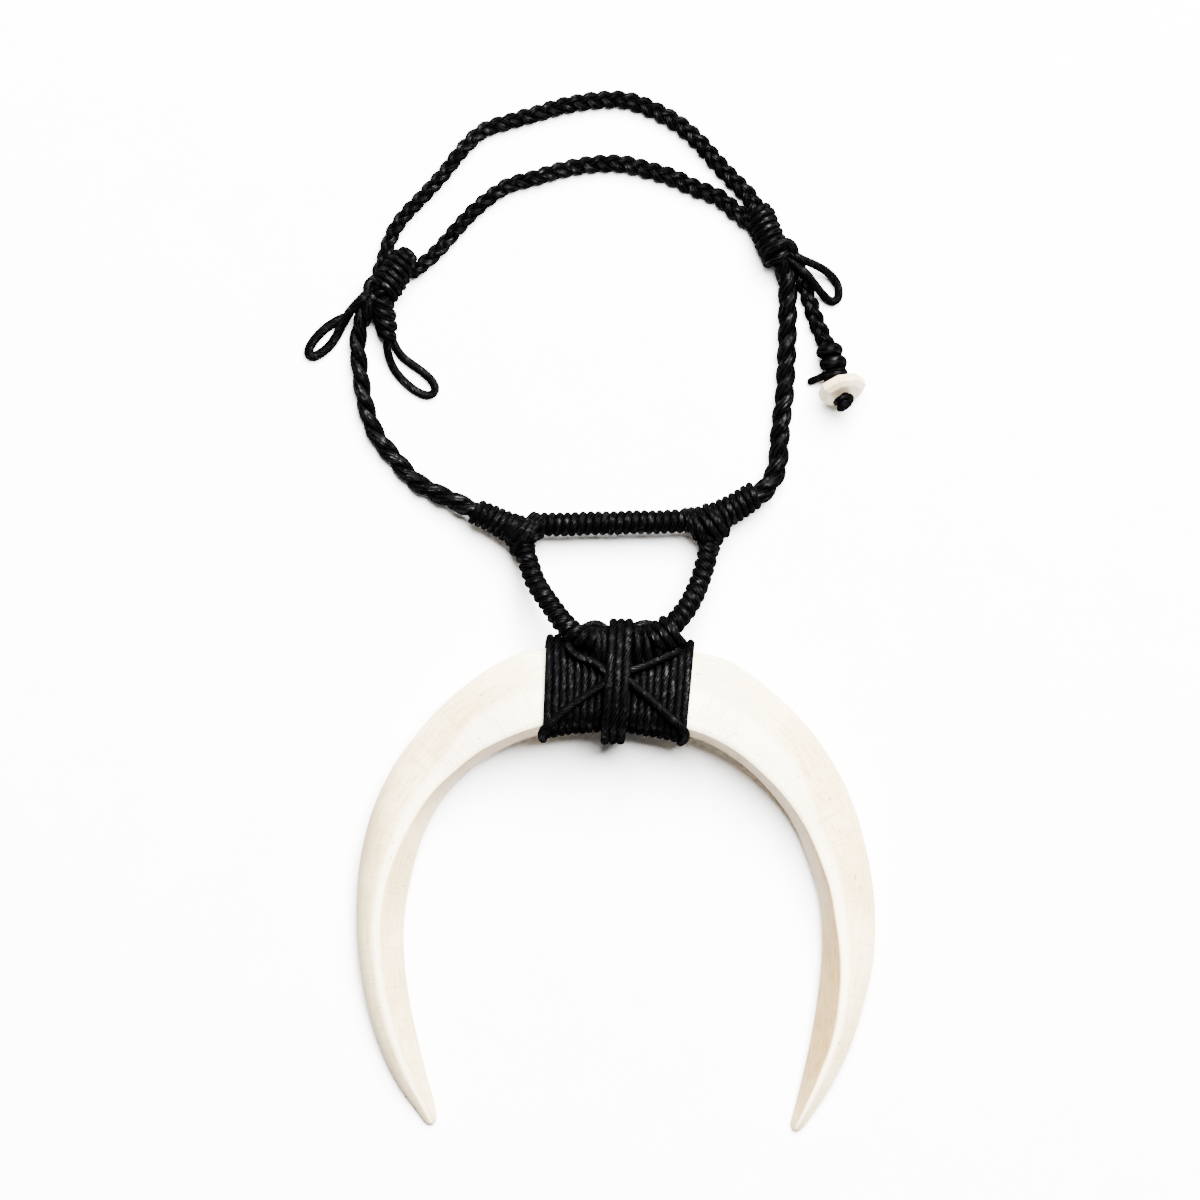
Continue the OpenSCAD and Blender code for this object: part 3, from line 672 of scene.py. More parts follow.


# %% [markdown]
# ## Ivory
# Tusk enamel is warm white, with faint rings and fine lines across it where it
# grew, long soft streaks, and small dark pits. Near the lashing it is painted whiter,
# a painted sheen, and a painted highlight runs beside the ridge. The outer flank,
# mostly on the left tusk, is painted browner, as painted shade where it turns away
# from the light. Along the facet the enamel ends and the dentine shows, beige and
# duller, on the right tusk nearly to its tip, and its dark beige is partly painted
# shade where the facet turns away from the light. A plain noise would put all of
# this anywhere. So the UV map says in U how far down the tusk a place is, counted in
# the rows above, and in V whether it is on the dome (0 to 1), the facet (1 to 2) or
# the underside (2 to 3), and each mark is masked by the two. The colours are dark for
# ivory, because the light is strong enough to turn the paper white.

# %% Ivory colours
ENAMEL_LIGHT, ENAMEL_DEEP = (0.68, 0.565, 0.34), (0.50, 0.39, 0.20)
STREAK, RING, GROWTH_LINE = (0.35, 0.24, 0.11), (0.38, 0.28, 0.13), (0.40, 0.31, 0.18)
# Painted sheen near the lashing, and a painted highlight beside the ridge.
ROOT_SHEEN, RIDGE_HIGHLIGHT = (0.84, 0.79, 0.66), (0.90, 0.82, 0.65)
# Dentine beige, dark enough to double as painted shade on the facet.
DENTINE_SHADE_PALE, DENTINE_SHADE_DEEP = (0.225, 0.14, 0.05), (0.13, 0.077, 0.025)
# The first is painted shade for the outer flank; then the underside and the pits.
FLANK_SHADE, UNDERSIDE, PIT = (0.21, 0.155, 0.09), (0.42, 0.39, 0.34), (0.16, 0.12, 0.09)


# %% Ivory
def hairline(field, sharp):
    """1 along the thin lines where a noise passes its middle value."""
    return 1 - ((field - 0.5).size() * sharp).at_most(1.0)


def make_ivory(name, beige_to, flank_shade):
    """Ivory whose facet is dentine beige, deepened as painted shade, down to the given row, with the
    given share of painted shade on the outer flank.
    """
    f = Finish(name)
    where = f.add("ShaderNodeTexCoord", take="Object")
    down, part, _ = f.split(f.add("ShaderNodeUVMap", {"uv_map": "UVMap"}))
    cloud = f.noise(where, 45.0, 3.0)
    grain = f.noise(where, 420.0, 4.0, 0.6)
    rings = f.noise(f.join(down * 9.0, part * 0.5, 2.0), 2.0, 3.0, 0.6)
    streak = f.noise(f.join(down * 0.9, part * 9.0, 5.0), 2.0, 3.0, 0.55)
    facet = part.rise(1.0, 1.12) * (1 - part.rise(2.3, 2.7))
    pits = f.noise(where, 900.0, 1.0)
    pitted = pits.rise(0.69, 0.76) * cloud.rise(0.42, 0.6)
    enamel = f.blend(cloud.rise(0.3, 0.7), ENAMEL_LIGHT, ENAMEL_DEEP)
    enamel = f.blend(streak.rise(0.45, 0.7) * 0.6, enamel, STREAK)
    enamel = f.blend(rings.rise(0.48, 0.7) * 0.5, enamel, RING)
    # Painted sheen: the enamel is painted whiter near the lashing.
    root_sheen = 1 - down.rise(2.6, 6.0)
    enamel = f.blend(root_sheen * 0.3, enamel, ROOT_SHEEN)
    # Painted highlight: a lighter band along the worn flat beside the ridge, broken up by the streaks.
    near_ridge = part + (1 - down.rise(5.0, 8.0)) * 0.16
    ridge_highlight = near_ridge.rise(0.76, 0.9) * (1 - part.rise(0.97, 1.03)) * (0.5 + streak)
    enamel = f.blend(ridge_highlight.at_most(1.0) * 0.6, enamel, RIDGE_HIGHLIGHT)
    growth = hairline(f.noise(f.join(down * 5.0, part * 0.5, 11.0), 1.5, 1.0), 22.0)
    growth = growth * cloud.rise(0.45, 0.6) * part.rise(0.45, 0.7) * (1 - down.rise(7.0, 9.0))
    enamel = f.blend(growth * 0.45, enamel, GROWTH_LINE)
    # Dentine beige on the facet, partly real and partly painted shade where the facet turns away from
    # the light.
    dentine_shade = f.blend(streak.rise(0.3, 0.8), DENTINE_SHADE_PALE, DENTINE_SHADE_DEEP)
    beige = 1 - down.rise(beige_to - 3.5, beige_to)
    colour = f.blend(facet * (beige * 0.7 + grain * 0.2 + 0.1), enamel, dentine_shade)
    # Painted shade: the outer flank is darkened where it turns away from the light.
    flank = (1 - part.rise(0.1, 0.75)) * down.rise(6.5, 9.5)
    colour = f.blend(flank * flank_shade, colour, FLANK_SHADE)
    under = part.rise(2.1, 2.3) * (1 - part.rise(2.75, 3.0))
    colour = f.blend(under * 0.85, colour, UNDERSIDE)
    colour = f.blend(pitted * 0.75, colour, PIT)
    roughness = 0.22 + facet * 0.12 + (grain - 0.5) * 0.16 + pitted * 0.2
    height = rings * 0.5 + grain * 0.22 + streak * 0.3 - pitted * 0.6
    return f.finish(colour, roughness, height, 0.22 * MM, 0.8, polish=0.08)


make_tusk("tusk_left", LEFT_TUSK, -1, make_ivory("ivory_left", 10.0, 1.0))
make_tusk("tusk_right", RIGHT_TUSK, 1, make_ivory("ivory_right", 17.0, 0.1))

# %% [markdown]
# ## Lashing
# Twenty turns of one cord bind the two roots. On the face the turns lie side by
# side with their tops leaning to the right, and the cord moves on to its next
# turn underneath. A helix would be the simple way, but its turns would all slope
# on the face. So each turn is one walk round the roots' own section, set off by
# half a cord, and the sideways step is taken on the underside only. A row gives
# x, and the roots' upper and lower edge there in y.

# %% Lashing
LASH_ROWS = [
    (-12.0, -8.0, -30.9),
    (-2.5, -8.4, -29.6),
    (7.0, -8.7, -29.2),
    (16.5, -8.9, -30.2),
    (26.0, -9.5, -32.0),
]
CORD = 1.9
LASH_START, LASH_LENGTH, LASH_TURNS = -11.3, 37.6, 20
ROOT_RIDGE, ROOT_MIDDLE, ROOT_GAP = 0.9, 7, 0.3
UNDER_START, UNDER_HIGH = 13, 4.6
TURN_STEPS = 64


def turn_round_roots(x, off):
    """One turn at x, as (y, z) from the middle of the underside, over the face and
    back, with the middle and the width of the roots there."""
    rows = [Vector(row) for row in LASH_ROWS]
    last, first_x, last_x = len(rows) - 1, LASH_ROWS[0][0], LASH_ROWS[-1][0]
    row = on_curve(rows, max(0.0, min(last, (x - first_x) / (last_x - first_x) * last)))
    wide = row[1] - row[2]
    spots = tusk_section(wide, ROOT_THICK, ROOT_RIDGE)
    n, line = len(spots), []
    for j in range(n):
        back, fore = Vector(spots[j - 1][:2]), Vector(spots[(j + 1) % n][:2])
        d = (fore - back).normalized()
        spot = Vector(spots[j][:2]) + Vector((-d.y, d.x)) * off
        line.append(Vector((row[1] - spot.x, ROOT_RISE + spot.y)))
    return line[UNDER_START:] + line[:UNDER_START], (row[1] + row[2]) / 2, wide


def make_lashing():
    bm = bmesh.new()
    pitch = LASH_LENGTH / LASH_TURNS
    places, outward = [], []
    for k in range(LASH_TURNS):
        x = LASH_START + pitch * (k + 0.5)
        lean = between(0.7, 2.3, k / LASH_TURNS)
        loose = 0.1 * math.sin(2.3 * k) * math.sin(0.9 * k + 1)
        line, y_middle, wide = turn_round_roots(x, ROOT_GAP + CORD / 2 + loose)
        shut = [Vector((p.x, p.y, 0)) for p in [line[-1], *line, line[0], line[1]]]
        loop = walk(shut, TURN_STEPS, 1, len(line) + 1, 6)
        under = [spot.y < ROOT_RISE + UNDER_HIGH for spot in loop]
        low = sum(under[:-1])
        moved, centre = 0.0, Vector((0, y_middle, ROOT_RISE + ROOT_MIDDLE))
        for n, spot in enumerate(loop[:-1]):
            waver = 0.07 * math.sin(5.1 * k + n * 0.12)
            at = x + pitch * (moved - 0.5) + lean * (spot.x - y_middle) / wide + waver
            places.append(Vector((at, spot.x, spot.y)) * MM)
            outward.append((Vector((0, spot.x, spot.y)) - centre).normalized())
            moved += under[n] / low
    lay_cord(bm, places, CORD * 1.02 * MM, CORD * MM, 8, outward)
    return piece("lashing_cord", "lashing_turns", bm)


make_lashing()

# %% [markdown]
# ## Band, side turns and crossing cords
# Three more turns run over the middle of the lashing and over the yoke's cord,
# and hold it down. They could be a copy of the lashing's turns, but they bulge over
# the yoke's feet. So they have a line of their own, in y and z round the bundle,
# and again step sideways underneath. Beside them five short turns tie the yoke's
# feet, and two cords cross the lashing from its upper corners, pass under the
# band and end round its lower corners.

# %% Band
BAND_LINE = [
    (-19, 0.97), (-14, 1.0), (-9.0, 2.4), (-6.0, 6.2), (-3.9, 10.6), (-2.7, 15.6),
    (-3.7, 19.1), (-6.4, 21.2), (-10.2, 22.6), (-14.5, 23.7), (-20, 24.3), (-25.4, 24.2),
    (-30.0, 22.8), (-32.6, 18.6), (-33.5, 12.5), (-32.2, 6.4), (-28.8, 2.2), (-24, 1.0),
]
BAND_MIDDLE = Vector((0, -18, 12))
BAND_X, BAND_PITCH, BAND_LEAN = 5.05, 2.05, 2.2
BAND_TURNS, BAND_STEPS = 3, 72
BAND_UNDER_HIGH = 4


def make_band():
    bm = bmesh.new()
    shut = [Vector((y, z, 0)) for y, z in [BAND_LINE[-1], *BAND_LINE, *BAND_LINE[:2]]]
    loop = walk(shut, BAND_STEPS, 1, len(BAND_LINE) + 1, 6)[:-1]
    low = sum(spot.y < BAND_UNDER_HIGH for spot in loop)
    places, outward = [], []
    for k in range(BAND_TURNS):
        moved = 0.0
        for spot in loop:
            x = BAND_X + BAND_PITCH * (k + moved - 0.5) + BAND_LEAN * (spot.x + 20) / 30
            places.append(Vector((x, spot.x, spot.y)) * MM)
            outward.append((Vector((0, spot.x, spot.y)) - BAND_MIDDLE).normalized())
            moved += (spot.y < BAND_UNDER_HIGH) / low
    lay_cord(bm, places, 2.08 * MM, CORD * MM, 10, outward)
    return piece("band_cord", "band_turns", bm)


make_band()

# %% Side turns
SIDE_LINE = [
    (-7.2, 13.2), (-6.0, 15.0), (-5.1, 17.2), (-5.5, 19.6), (-7.9, 20.6), (-10.6, 20.6),
    (-13.0, 19.6),
]
SIDE_TOP_Y = -5.5
SIDE_TURNS = (
    (2.9, -0.25, 1.0), (4.1, -0.1, 1.2), (12.4, 0.1, 1.0), (14.6, 0.25, 1.05), (16.7, 0.5, 0.9),
)


def make_side_turns():
    """Each turn comes up over the foot, and its last three points reach on over the face."""
    bm = bmesh.new()
    for x, lean, reach in SIDE_TURNS:
        spots = [
            Vector((x + lean * k / 2, y if k < 4 else between(SIDE_TOP_Y, y, reach), z)) * MM
            for k, (y, z) in enumerate(SIDE_LINE)
        ]
        cord_along(bm, spots, CORD * MM, None, 9, Vector((1, 0, 0)), 0.8)
    return piece("side_turn_cords", "side_turns", bm)


make_side_turns()

# %% Crossing cords
CROSS_LEFT = route(
    (-5.4, -8.4, 18.4), (-4.6, -10.2, 19.4), (-2.6, -11.6, 20.2), (1.2, -13.1, 21.0),
    (4.0, -15.2, 21.6), (5.0, -16.8, 22.1), (4.0, -18.5, 22.3), (1.4, -20.3, 22.4),
    (-3.0, -23.2, 22.4), (-7.0, -26.2, 22.4), (-10.0, -28.8, 22.3), (-11.7, -30.5, 21.6),
    (-12.3, -32.0, 20.0), (-11.8, -33.1, 17.6),
)
CROSS_RIGHT = route(
    (23.4, -10.0, 18.5), (20.2, -11.5, 19.6), (17.0, -13.0, 20.4), (14.0, -14.2, 21.2),
    (11.2, -15.2, 21.7), (9.2, -16.6, 22.1), (11.2, -18.6, 22.3), (14.0, -21.0, 22.4),
    (17.6, -24.2, 22.4), (21.0, -27.2, 22.5), (23.8, -29.7, 22.4), (25.1, -31.6, 21.4),
    (24.7, -33.2, 19.4), (23.6, -34.0, 17.0),
)
laid_cord("cross_cord_left", CROSS_LEFT, CORD, pace=0.8)
laid_cord("cross_cord_right", CROSS_RIGHT, CORD, pace=0.8)

# %% [markdown]
# ## Yoke and crossbar
# The yoke's legs, its two upper corners and the crossbar are each wound along
# their own spine. One long winding could run round them all, but a winding's
# diameters are easier to set for each stretch alone. The corners are fatter,
# because there the winding takes in the rope, the leg and the end of the crossbar
# together, and on the real yoke the last turns cross over it. Those are straps: a
# cord that comes up out of the winding, arches over and goes down again.

# %% Yoke
YOKE = route(
    (-20.6, 21.9, 6.3), (-17.9, 20.0, 6.3), (-16.9, 16.4, 6.5), (-15.8, 12.8, 7.3),
    (-13.7, 7.4, 9.7), (-10.4, 2.2, 12.8), (-6.3, -3.2, 16.1), (-2.4, -6.6, 18.2),
    (1.8, -7.4, 18.4), (7.5, -7.2, 18.4), (13.0, -7.3, 18.4), (17.9, -6.6, 18.3),
    (21.9, -3.4, 16.3), (25.9, 1.8, 12.8), (28.5, 7.0, 9.6), (30.3, 12.8, 7.2),
    (31.2, 16.6, 6.5), (31.7, 19.8, 6.3), (32.5, 22.4, 6.3), (34.0, 24.1, 6.3),
)
LEG, BAR = 5.5, 6.2


def wound_piece(name, node, spine, turns, outer, cord, more=None, material=waxed_cord, **how):
    """A winding in place of a node, and what more is laid over it."""
    bm = bmesh.new()
    wind(bm, spine, turns, outer, cord, **how)
    if more:
        more(bm)
    return piece(name, node, bm, material)


def foot_straps(bm):
    """The right leg's last turns slant over its foot."""
    for a, b in (
        ((15.2, -4.4), (19.6, -10.0)), ((17.2, -3.4), (22.2, -9.3)), ((19.2, -2.2), (24.2, -8.2)),
    ):
        strap(bm, a, b, 15.0, 21.9, 2.3)


wound_piece(
    "leg_cord_left", "leg_wrap_left", walk(YOKE, 40, 2.0, 7.9), 14.5,
    [LEG, LEG, LEG, 5.9, 6.1], 2.2,
)
wound_piece(
    "leg_cord_right", "leg_wrap_right", walk(YOKE, 40, 11.2, 16.1), 11.5,
    [5.9, 5.7, LEG, LEG], 2.2, foot_straps,
)
wound_piece(
    "crossbar_cord", "crossbar_wrap", straight((-15.4, 22.5, 6.4), (29.4, 23.6, 6.4)), 21.5,
    [BAR, BAR], 2.12,
)

# %% Corners
CORNER_BASE = 5.5
STRAPS_LEFT = (
    ((-14.4, 25.0), (-20.6, 18.0), 10.6), ((-13.3, 24.6), (-19.6, 15.6), 11.0),
    ((-12.2, 24.2), (-17.3, 17.6), 10.6), ((-12.6, 20.0), (-15.6, 18.6), 9.6),
)
STRAPS_RIGHT = (
    ((25.0, 26.0), (28.0, 19.4), 10.0), ((26.6, 26.2), (30.4, 17.6), 10.6),
    ((28.4, 26.4), (34.0, 18.6), 11.0), ((30.4, 27.2), (35.6, 20.2), 10.9),
)


def corner_straps(straps):
    """Lays one strap for each row of start, end and top."""
    def lay(bm):
        for a, b, top in straps:
            strap(bm, a, b, CORNER_BASE, top)
    return lay


wound_piece(
    "corner_cord_left", "corner_wrap_left", walk(YOKE, 12, 0.0, 2.2), 5,
    [7.6, 8.4, 8.6, 7.4, 5.9], 2.0, corner_straps(STRAPS_LEFT),
)
wound_piece(
    "corner_cord_right", "corner_wrap_right", walk(YOKE, 12, 16.0, 18.6), 4,
    [5.9, 7.0, 8.0, 8.4], 2.1, corner_straps(STRAPS_RIGHT),
)

# %% Foot cord
FOOT = route(
    (-1.2, -4.0, 13.2), (1.0, -3.1, 12.9), (3.0, -3.4, 12.7), (4.9, -4.6, 12.6),
    (7.5, -5.2, 12.6), (10.1, -4.8, 12.6), (12.2, -3.6, 12.7), (14.4, -3.0, 12.9),
    (16.6, -3.4, 13.2), (18.2, -4.4, 13.6),
)
bm = bmesh.new()
cord_along(bm, FOOT, 1.7 * MM)
for y, z in ((-5.0, 13.9), (-5.9, 15.5)):
    cord_along(bm, route(*((x, y, z) for x in (-1.0, 3.0, 8.0, 13.0, 18.0))), 2.2 * MM)
piece("foot_cord_laid", "foot_cord", bm)

# %% [markdown]
# ## Ropes
# Each rope is two thick strands laid round each other, and the two ropes are laid
# opposite ways. An array of one stitch along a curve would show its joints, so each
# strand is one long cord. Its middle keeps a reach of 1.1 or 1.2 mm from the rope's
# middle and goes once round it in 12.2 mm on the left and 10.5 mm on the right. The
# strands are pressed oval where they meet, and the rope is a little thicker where
# it leaves the yoke.

# %% Ropes
ROPE_LEFT = route(
    (-22.4, 22.9, 6.1), (-26.0, 24.5, 5.75), (-30.0, 26.3, 5.3), (-35.5, 29.0, 4.3),
    (-41.1, 31.6, 3.1), (-45.9, 34.7, 2.5), (-50.7, 40.2, 2.4), (-54.4, 44.6, 2.4),
    (-57.0, 50.0, 2.4), (-58.7, 56.4, 2.4), (-59.7, 63.8, 2.4), (-60.2, 69.4, 2.5),
    (-59.6, 73.8, 2.9), (-58.5, 77.2, 4.1), (-57.0, 80.4, 5.1), (-54.4, 83.2, 5.35),
    (-49.8, 88.1, 5.35), (-46.6, 92.2, 5.35),
)
ROPE_RIGHT = route(
    (36.5, 26.1, 6.1), (40.0, 28.3, 5.75), (44.3, 30.4, 5.3), (47.4, 33.9, 4.2),
    (49.1, 38.2, 3.1), (49.5, 43.6, 2.5), (50.1, 50.2, 2.4), (50.9, 56.6, 2.4),
    (51.3, 64.4, 2.4), (51.6, 71.0, 2.4), (51.7, 78.0, 2.5), (51.6, 84.6, 2.9),
    (50.9, 88.6, 3.6), (49.6, 92.0, 4.1), (47.4, 96.6, 4.2),
)
SWELL, SWELL_LENGTH = 0.14, 34


def make_rope_strand(node, line, material, start, lay, reach, thick, wide):
    """A strand that starts at an angle and goes once round in lay millimetres, the
    other way round where the lay is below zero."""
    bm = bmesh.new()
    run = length(walk(line, 200)) / MM
    middle = walk(line, math.ceil(run / 0.8))
    places, outward, swells = [], [], []
    for k, spot in enumerate(middle):
        _, side, high = round_spine(middle, k)
        ran = run * k / (len(middle) - 1)
        swell = 1 + SWELL * max(0.0, 1 - ran / SWELL_LENGTH)
        angle = start + FULL_TURN * ran / lay
        out = side * math.cos(angle) + high * math.sin(angle)
        places.append(spot + out * reach * swell * MM)
        outward.append(out)
        swells.append(swell * MM)
    lay_cord(bm, places, [wide * s for s in swells], [thick * s for s in swells], 14, outward)
    return piece(node + "_laid", node, bm, material)


for k in (1, 2):
    half_turn = math.pi * (k - 1)
    make_rope_strand(f"rope_left_ply_{k}", ROPE_LEFT, left_ply, half_turn, 12.2, 1.08, 2.4, 3.0)
    make_rope_strand(f"rope_right_ply_{k}", ROPE_RIGHT, right_ply, half_turn, -10.5, 1.24, 2.6, 3.3)

# %% [markdown]
# ## Whippings and coils
# Where a rope leaves the yoke it is whipped with a few turns, and at its far end
# six or seven turns of a coil grip it: the sliding knots that set the necklace's
# length. They are wound like the rest, only fatter, and the coils' turns slant
# across them, as turns do that were slid along. A knot could be drawn as one
# hand-set route, but a winding with a bight, a short cord bent over it, shows the
# same and is easier to change.

# %% Whippings
wound_piece(
    "whipping_left", "whip_left", straight((-18.0, 20.8, 6.3), (-30.2, 26.4, 5.3)), 6.5,
    [8.4, 7.6, 7.1, 6.9], 2.0,
)
wound_piece(
    "whipping_right", "whip_right", straight((30.8, 22.9, 6.3), (43.9, 30.7, 5.4)), 7.5,
    [8.4, 8.0, 7.6, 7.4], 1.95,
)


# %% Coils
def bight_left(bm):
    """A turn of the left coil bulges out over the legs of its outer loop."""
    bulge = route(
        (-55.6, 86.8, 5.2), (-57.3, 85.4, 6.2), (-57.7, 83.6, 6.6), (-56.6, 81.9, 6.4),
        (-54.8, 81.2, 6.4),
    )
    cord_along(bm, bulge, 2.0 * MM, pace=0.7)


wound_piece(
    "coil_left", "knot_left", straight((-54.6, 81.8, 5.3), (-46.4, 93.5, 5.3)), 6.8,
    [8.6, 8.9, 9.0, 8.8, 8.0, 5.6], 2.2, bight_left, knot_cord, hand=-1, lean=-0.22, nod=0.3,
)


def bight_right(bm):
    """A fat turn and one strap cross the foot of the right coil."""
    turn = route(
        (46.2, 90.6, 4.2), (46.2, 92.6, 7.0), (48.2, 94.6, 9.2), (50.7, 96.0, 8.9),
        (52.7, 95.2, 7.4), (53.4, 93.0, 5.6), (52.6, 91.0, 4.2),
    )
    cord_along(bm, turn, 2.3 * MM, pace=0.7)
    strap(bm, (46.4, 90.6), (51.6, 94.2), 3.5, 8.2, 2.2, 0.6)


wound_piece(
    "coil_right", "knot_right", straight((48.1, 94.0, 4.15), (43.4, 105.2, 4.15)), 5.7,
    [8.2, 8.4, 8.4, 8.2, 6.4], 2.4, bight_right, knot_cord, lean=0.4, nod=0.3,
)
wound_piece(
    "stub_cord", "stub_wrap", straight((-54.4, 82.6, 4.6), (-52.2, 70.6, 2.9)), 3.6,
    [6.4, 6.4, 6.2, 5.8, 4.6], 1.7, None, knot_cord, lean=-0.3, nod=0.2, per_turn=24,
)

# %% [markdown]
# ## Plain loops
# Three bights of single cord come out of the coils and lie on the table. Physics
# could drop a hanging loop there, but these were laid by hand, so each follows its
# own route: down from the coil, round the bend with the cord's middle half its
# thickness above the table, and back.

# %% Plain loops
LOOP_LEFT_OUTER = route(
    (-57.4, 83.0, 6.8), (-59.2, 81.2, 6.8), (-61.1, 79.2, 5.7), (-62.6, 77.4, 3.9), (-64.4, 74.2, 2.2),
    (-65.9, 71.4, 1.4), (-67.7, 69.0, 1.05), (-70.1, 67.1, 1.0), (-71.8, 66.5, 1.0),
    (-73.0, 67.3, 1.0), (-72.5, 69.1, 1.0), (-71.0, 71.3, 1.0), (-68.5, 73.8, 1.0),
    (-65.9, 75.5, 1.0), (-64.0, 76.4, 1.0),
)
LOOP_LEFT_INNER = route(
    (-52.3, 70.6, 3.7), (-52.5, 68.2, 2.9), (-51.7, 65.3, 1.6), (-50.2, 62.4, 1.1),
    (-47.8, 59.7, 1.0), (-45.2, 57.6, 1.0), (-42.6, 56.4, 1.0), (-40.8, 56.6, 1.0),
    (-40.0, 57.9, 1.0), (-40.6, 59.7, 1.0), (-42.4, 61.7, 1.0), (-44.6, 63.4, 1.0),
    (-47.4, 65.4, 1.0), (-49.4, 67.4, 1.1), (-51.0, 70.3, 1.6),
)
LOOP_RIGHT = route(
    (52.4, 93.2, 6.0), (55.6, 91.5, 5.7), (58.2, 90.4, 4.7), (60.8, 89.1, 3.4),
    (62.9, 87.5, 2.2), (64.5, 85.4, 1.4), (65.0, 83.3, 1.05), (64.7, 81.5, 1.0),
    (63.4, 80.7, 1.05), (61.9, 81.5, 1.6), (60.3, 83.1, 2.8), (58.9, 84.9, 4.2),
    (57.6, 86.5, 5.2), (56.2, 88.2, 5.5), (54.4, 89.7, 5.2),
    (52.6, 91.4, 5.0), (50.8, 93.4, 4.6),
)
laid_cord("loop_left_outer", LOOP_LEFT_OUTER, 2.3, 12, 0.7)
laid_cord("loop_left_inner", LOOP_LEFT_INNER, 1.95, 12, 0.7)
laid_cord("loop_right", LOOP_RIGHT, 2.05, 12, 0.7)

# %% [markdown]
# ## Braids
# The braids are of three strands: each swings from edge to edge, and dips under
# one neighbour and over the other on its way. One stitch could be modelled and
# repeated along a curve, but a formula does it without joints. A strand's sideways
# place is a sine of the length run, made pointed by a little of its third
# harmonic, and its height a sine of twice that. The three strands are a third of
# the pitch apart, and a braid is slimmest where it leaves its knot.

# %% Braids
OUTER_BRAID = route(
    (-54.4, 84.8, 2.2), (-54.9, 87.2, 1.8), (-53.5, 91.2, 1.8), (-52.3, 95.4, 1.9),
    (-50.4, 99.7, 2.1), (-47.5, 103.6, 2.2), (-42.3, 109.0, 2.2), (-37.3, 114.6, 2.2),
    (-32.9, 120.2, 2.2), (-27.5, 125.2, 2.2), (-20.2, 127.7, 2.2), (-13.7, 129.6, 2.2),
    (-6.0, 131.8, 2.2), (2.0, 133.1, 2.2), (9.7, 133.1, 2.2), (16.6, 130.7, 2.2),
    (22.8, 127.3, 2.2), (28.0, 122.9, 2.2), (32.2, 118.2, 2.2), (36.6, 113.3, 2.4),
    (40.8, 109.1, 3.2), (43.1, 105.7, 4.0), (44.6, 102.5, 4.15),
)
INNER_BRAID = route(
    (-45.8, 88.2, 3.4), (-43.5, 90.2, 2.9), (-41.2, 92.1, 2.4), (-37.6, 95.8, 2.2), (-34.0, 100.0, 2.2),
    (-28.8, 105.3, 2.2), (-21.6, 110.6, 2.2), (-14.0, 112.9, 2.2), (-7.0, 115.0, 2.2),
    (0.5, 116.4, 2.2), (8.3, 116.6, 2.2), (15.4, 115.0, 2.2), (21.6, 113.1, 2.2),
    (27.4, 110.4, 2.2), (33.6, 107.9, 2.2), (37.4, 104.8, 2.3), (40.0, 102.7, 2.6),
    (43.0, 100.4, 3.2),
)
TAIL = route(
    (54.0, 91.0, 2.4), (55.1, 87.9, 1.9), (56.0, 84.8, 1.9), (57.4, 80.8, 1.9),
    (58.8, 76.4, 2.0), (60.3, 72.8, 2.5), (61.5, 70.1, 3.0), (62.4, 68.0, 3.6),
)
STRAND_WIDE, STRAND_THICK = 1.8, 1.7
STRAND_RISE, STRAND_DROP = 0.9, 0.2


def make_braid_strand(node, line, width, pitch, place):
    """One strand of three. The braid is width[0] broad at first, then width[1]."""
    bm = bmesh.new()
    run = length(walk(line, 240)) / MM
    middle = walk(line, math.ceil(run / 0.75))
    places = []
    for k, spot in enumerate(middle):
        _, side, high = round_spine(middle, k)
        angle = FULL_TURN * run * k / (len(middle) - 1) / pitch + math.radians(120 * place)
        broad = between(*width, max(0.0, min(1.0, k / len(middle) * 3 - 0.8)))
        swing = (broad - STRAND_WIDE) / 2 * (math.sin(angle) - math.sin(3 * angle) / 11) / 1.09
        lift = STRAND_RISE * math.sin(2 * angle) - STRAND_DROP
        places.append(spot + (side * swing + high * lift) * MM)
    lay_cord(bm, places, STRAND_WIDE * MM, STRAND_THICK * MM)
    return piece(node + "_laid", node, bm, strand_cord)


for kind, line, width, pitch in (
    ("outer_braid", OUTER_BRAID, (4.0, 4.7), 10.7),
    ("inner_braid", INNER_BRAID, (4.1, 4.7), 10.8),
    ("tail_braid", TAIL, (4.2, 4.6), 11.0),
):
    for place in range(3):
        make_braid_strand(f"{kind}_{place + 1}", line, width, pitch, place)

# %% [markdown]
# ## Toggle
# The tail ends in a fat stopper knot, with the cord's cut end beside it, then a
# drilled bone disc with pared edges, and one more knot under the disc. The disc is
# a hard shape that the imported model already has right, so it is kept and only
# takes a finish of bone: cloudy, with a fine grain. The knots are short windings
# of thick cord. The end knot is set along the disc's own axis, so its points are
# given from the disc's middle and turned into place by one matrix.

# %% Stopper knot and cut end
wound_piece(
    "stopper_cord", "stopper_knot", straight((61.6, 69.8, 3.5), (65.1, 59.5, 5.3), 1.5), 2.4,
    [6.6, 7.4, 6.8, 7.6, 6.8], 3.8, None, knot_cord, waver=0.05, lean=0.3, per_turn=24,
)
CUT_END = route((61.5, 61.6, 3.7), (60.1, 60.9, 2.8), (58.9, 60.4, 1.9), (57.6, 59.9, 1.0))
laid_cord("cut_end", CUT_END, 1.7)

# %% Bone
BONE_LIGHT, BONE_DEEP, BONE_GRAIN = (0.46, 0.37, 0.25), (0.31, 0.235, 0.145), (0.34, 0.26, 0.17)


def make_bone():
    f = Finish("bone")
    where = f.add("ShaderNodeTexCoord", take="Object")
    cloud = f.noise(where, 160.0, 3.0)
    grain = f.noise(where, 900.0, 4.0, 0.6)
    colour = f.blend(cloud.rise(0.3, 0.7), BONE_LIGHT, BONE_DEEP)
    colour = f.blend(grain.rise(0.6, 0.8) * 0.3, colour, BONE_GRAIN)
    roughness = 0.42 + (grain - 0.5) * 0.2
    return f.finish(colour, roughness, grain, 0.15 * MM, polish=0.2)


wear("toggle_bead", make_bone())
print("toggle_bead wears bone")

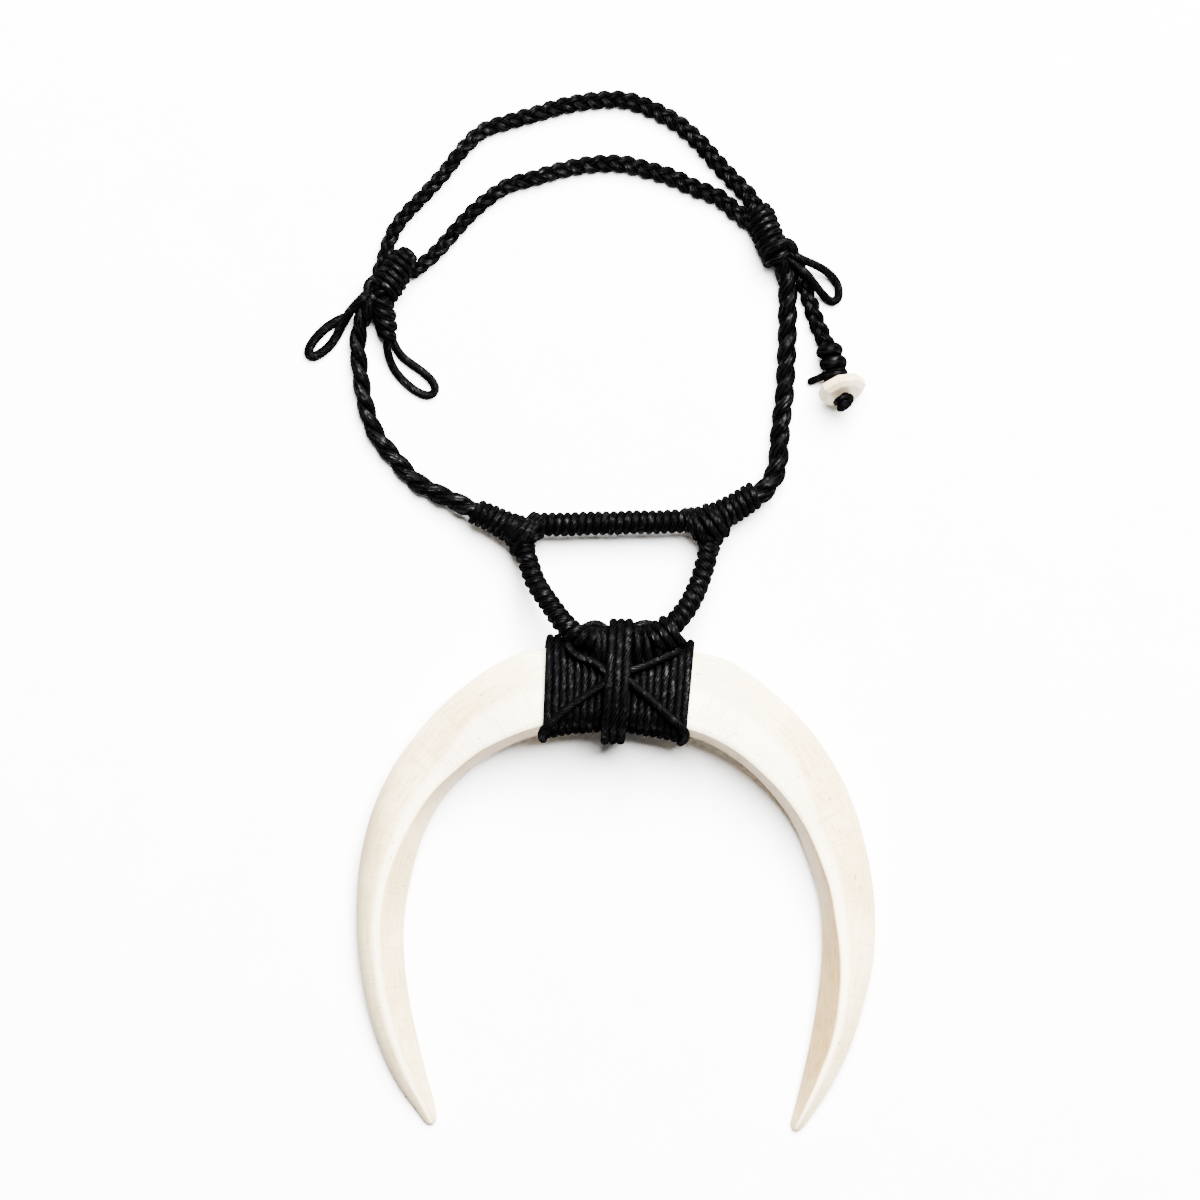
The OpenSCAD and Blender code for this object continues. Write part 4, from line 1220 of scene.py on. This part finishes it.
# %% End knot
DISC_MIDDLE = Vector((65.8, 57.8, 6.4)) * MM
DISC_TURN, DISC_TILT = math.radians(-71.5), math.radians(63)
END_KNOT = route((0, -0.4, 2.0), (0.1, -0.6, 3.0), (0.1, -0.6, 4.2), (0, -0.5, 5.2))


def make_end_knot():
    bm = bmesh.new()
    turned = Matrix.Rotation(DISC_TURN, 4, "Z") @ Matrix.Rotation(DISC_TILT, 4, "Y")
    spots = [Matrix.Translation(DISC_MIDDLE) @ turned @ point for point in END_KNOT]
    wind(bm, spots, 2.2, [3.4, 5.4, 5.4, 3.0], 2.1, start=2.0, lean=0.25, per_turn=20)
    return piece("end_knot_cord", "end_knot", bm)


make_end_knot()

# %% [markdown]
# ## Table and light
# The necklace lies on white paper in a nearly shadowless picture. A sun lamp would
# throw one hard shadow, and a bright world alone none at all. One disc of light two
# metres across, up and a little to the upper right, gives faint soft shadows that
# fall down and to the left, and a dim white world keeps them from going black.

# %% Table and light
PAPER_WHITE, PAPER_MOTTLE = (0.95, 0.95, 0.95), (0.93, 0.93, 0.93)


def make_table():
    bm = bmesh.new()
    bmesh.ops.create_grid(bm, x_segments=4, y_segments=4, size=3.0)
    mesh = bpy.data.meshes.new("table")
    bm.to_mesh(mesh)
    bm.free()
    f = Finish("table_paper")
    where = f.add("ShaderNodeTexCoord", take="Object")
    mottle = f.noise(where, 60.0, 3.0)
    colour = f.blend(mottle.rise(0.3, 0.7), PAPER_WHITE, PAPER_MOTTLE)
    mesh.materials.append(f.finish(colour, 0.9, mottle, 0.02 * MM))
    table = put("table", mesh)
    return table


def make_light(name, place, size, power):
    data = bpy.data.lights.new(name, "AREA")
    data.shape, data.size, data.energy = "DISK", size, power
    lamp = put(name, data)
    lamp.location = place
    lamp.rotation_euler = (-Vector(place)).to_track_quat("-Z", "Y").to_euler()
    return lamp


def make_world(strength):
    world = bpy.data.worlds.new("studio")
    world.use_nodes = True
    background = world.node_tree.nodes["Background"]
    background.inputs["Color"].default_value = (1, 1, 1, 1)
    background.inputs["Strength"].default_value = strength
    bpy.context.scene.world = world


print(make_table().name, make_light("soft_box", (0.5, 1.2, 1.95), 2.0, 1150).name)
make_world(0.1)
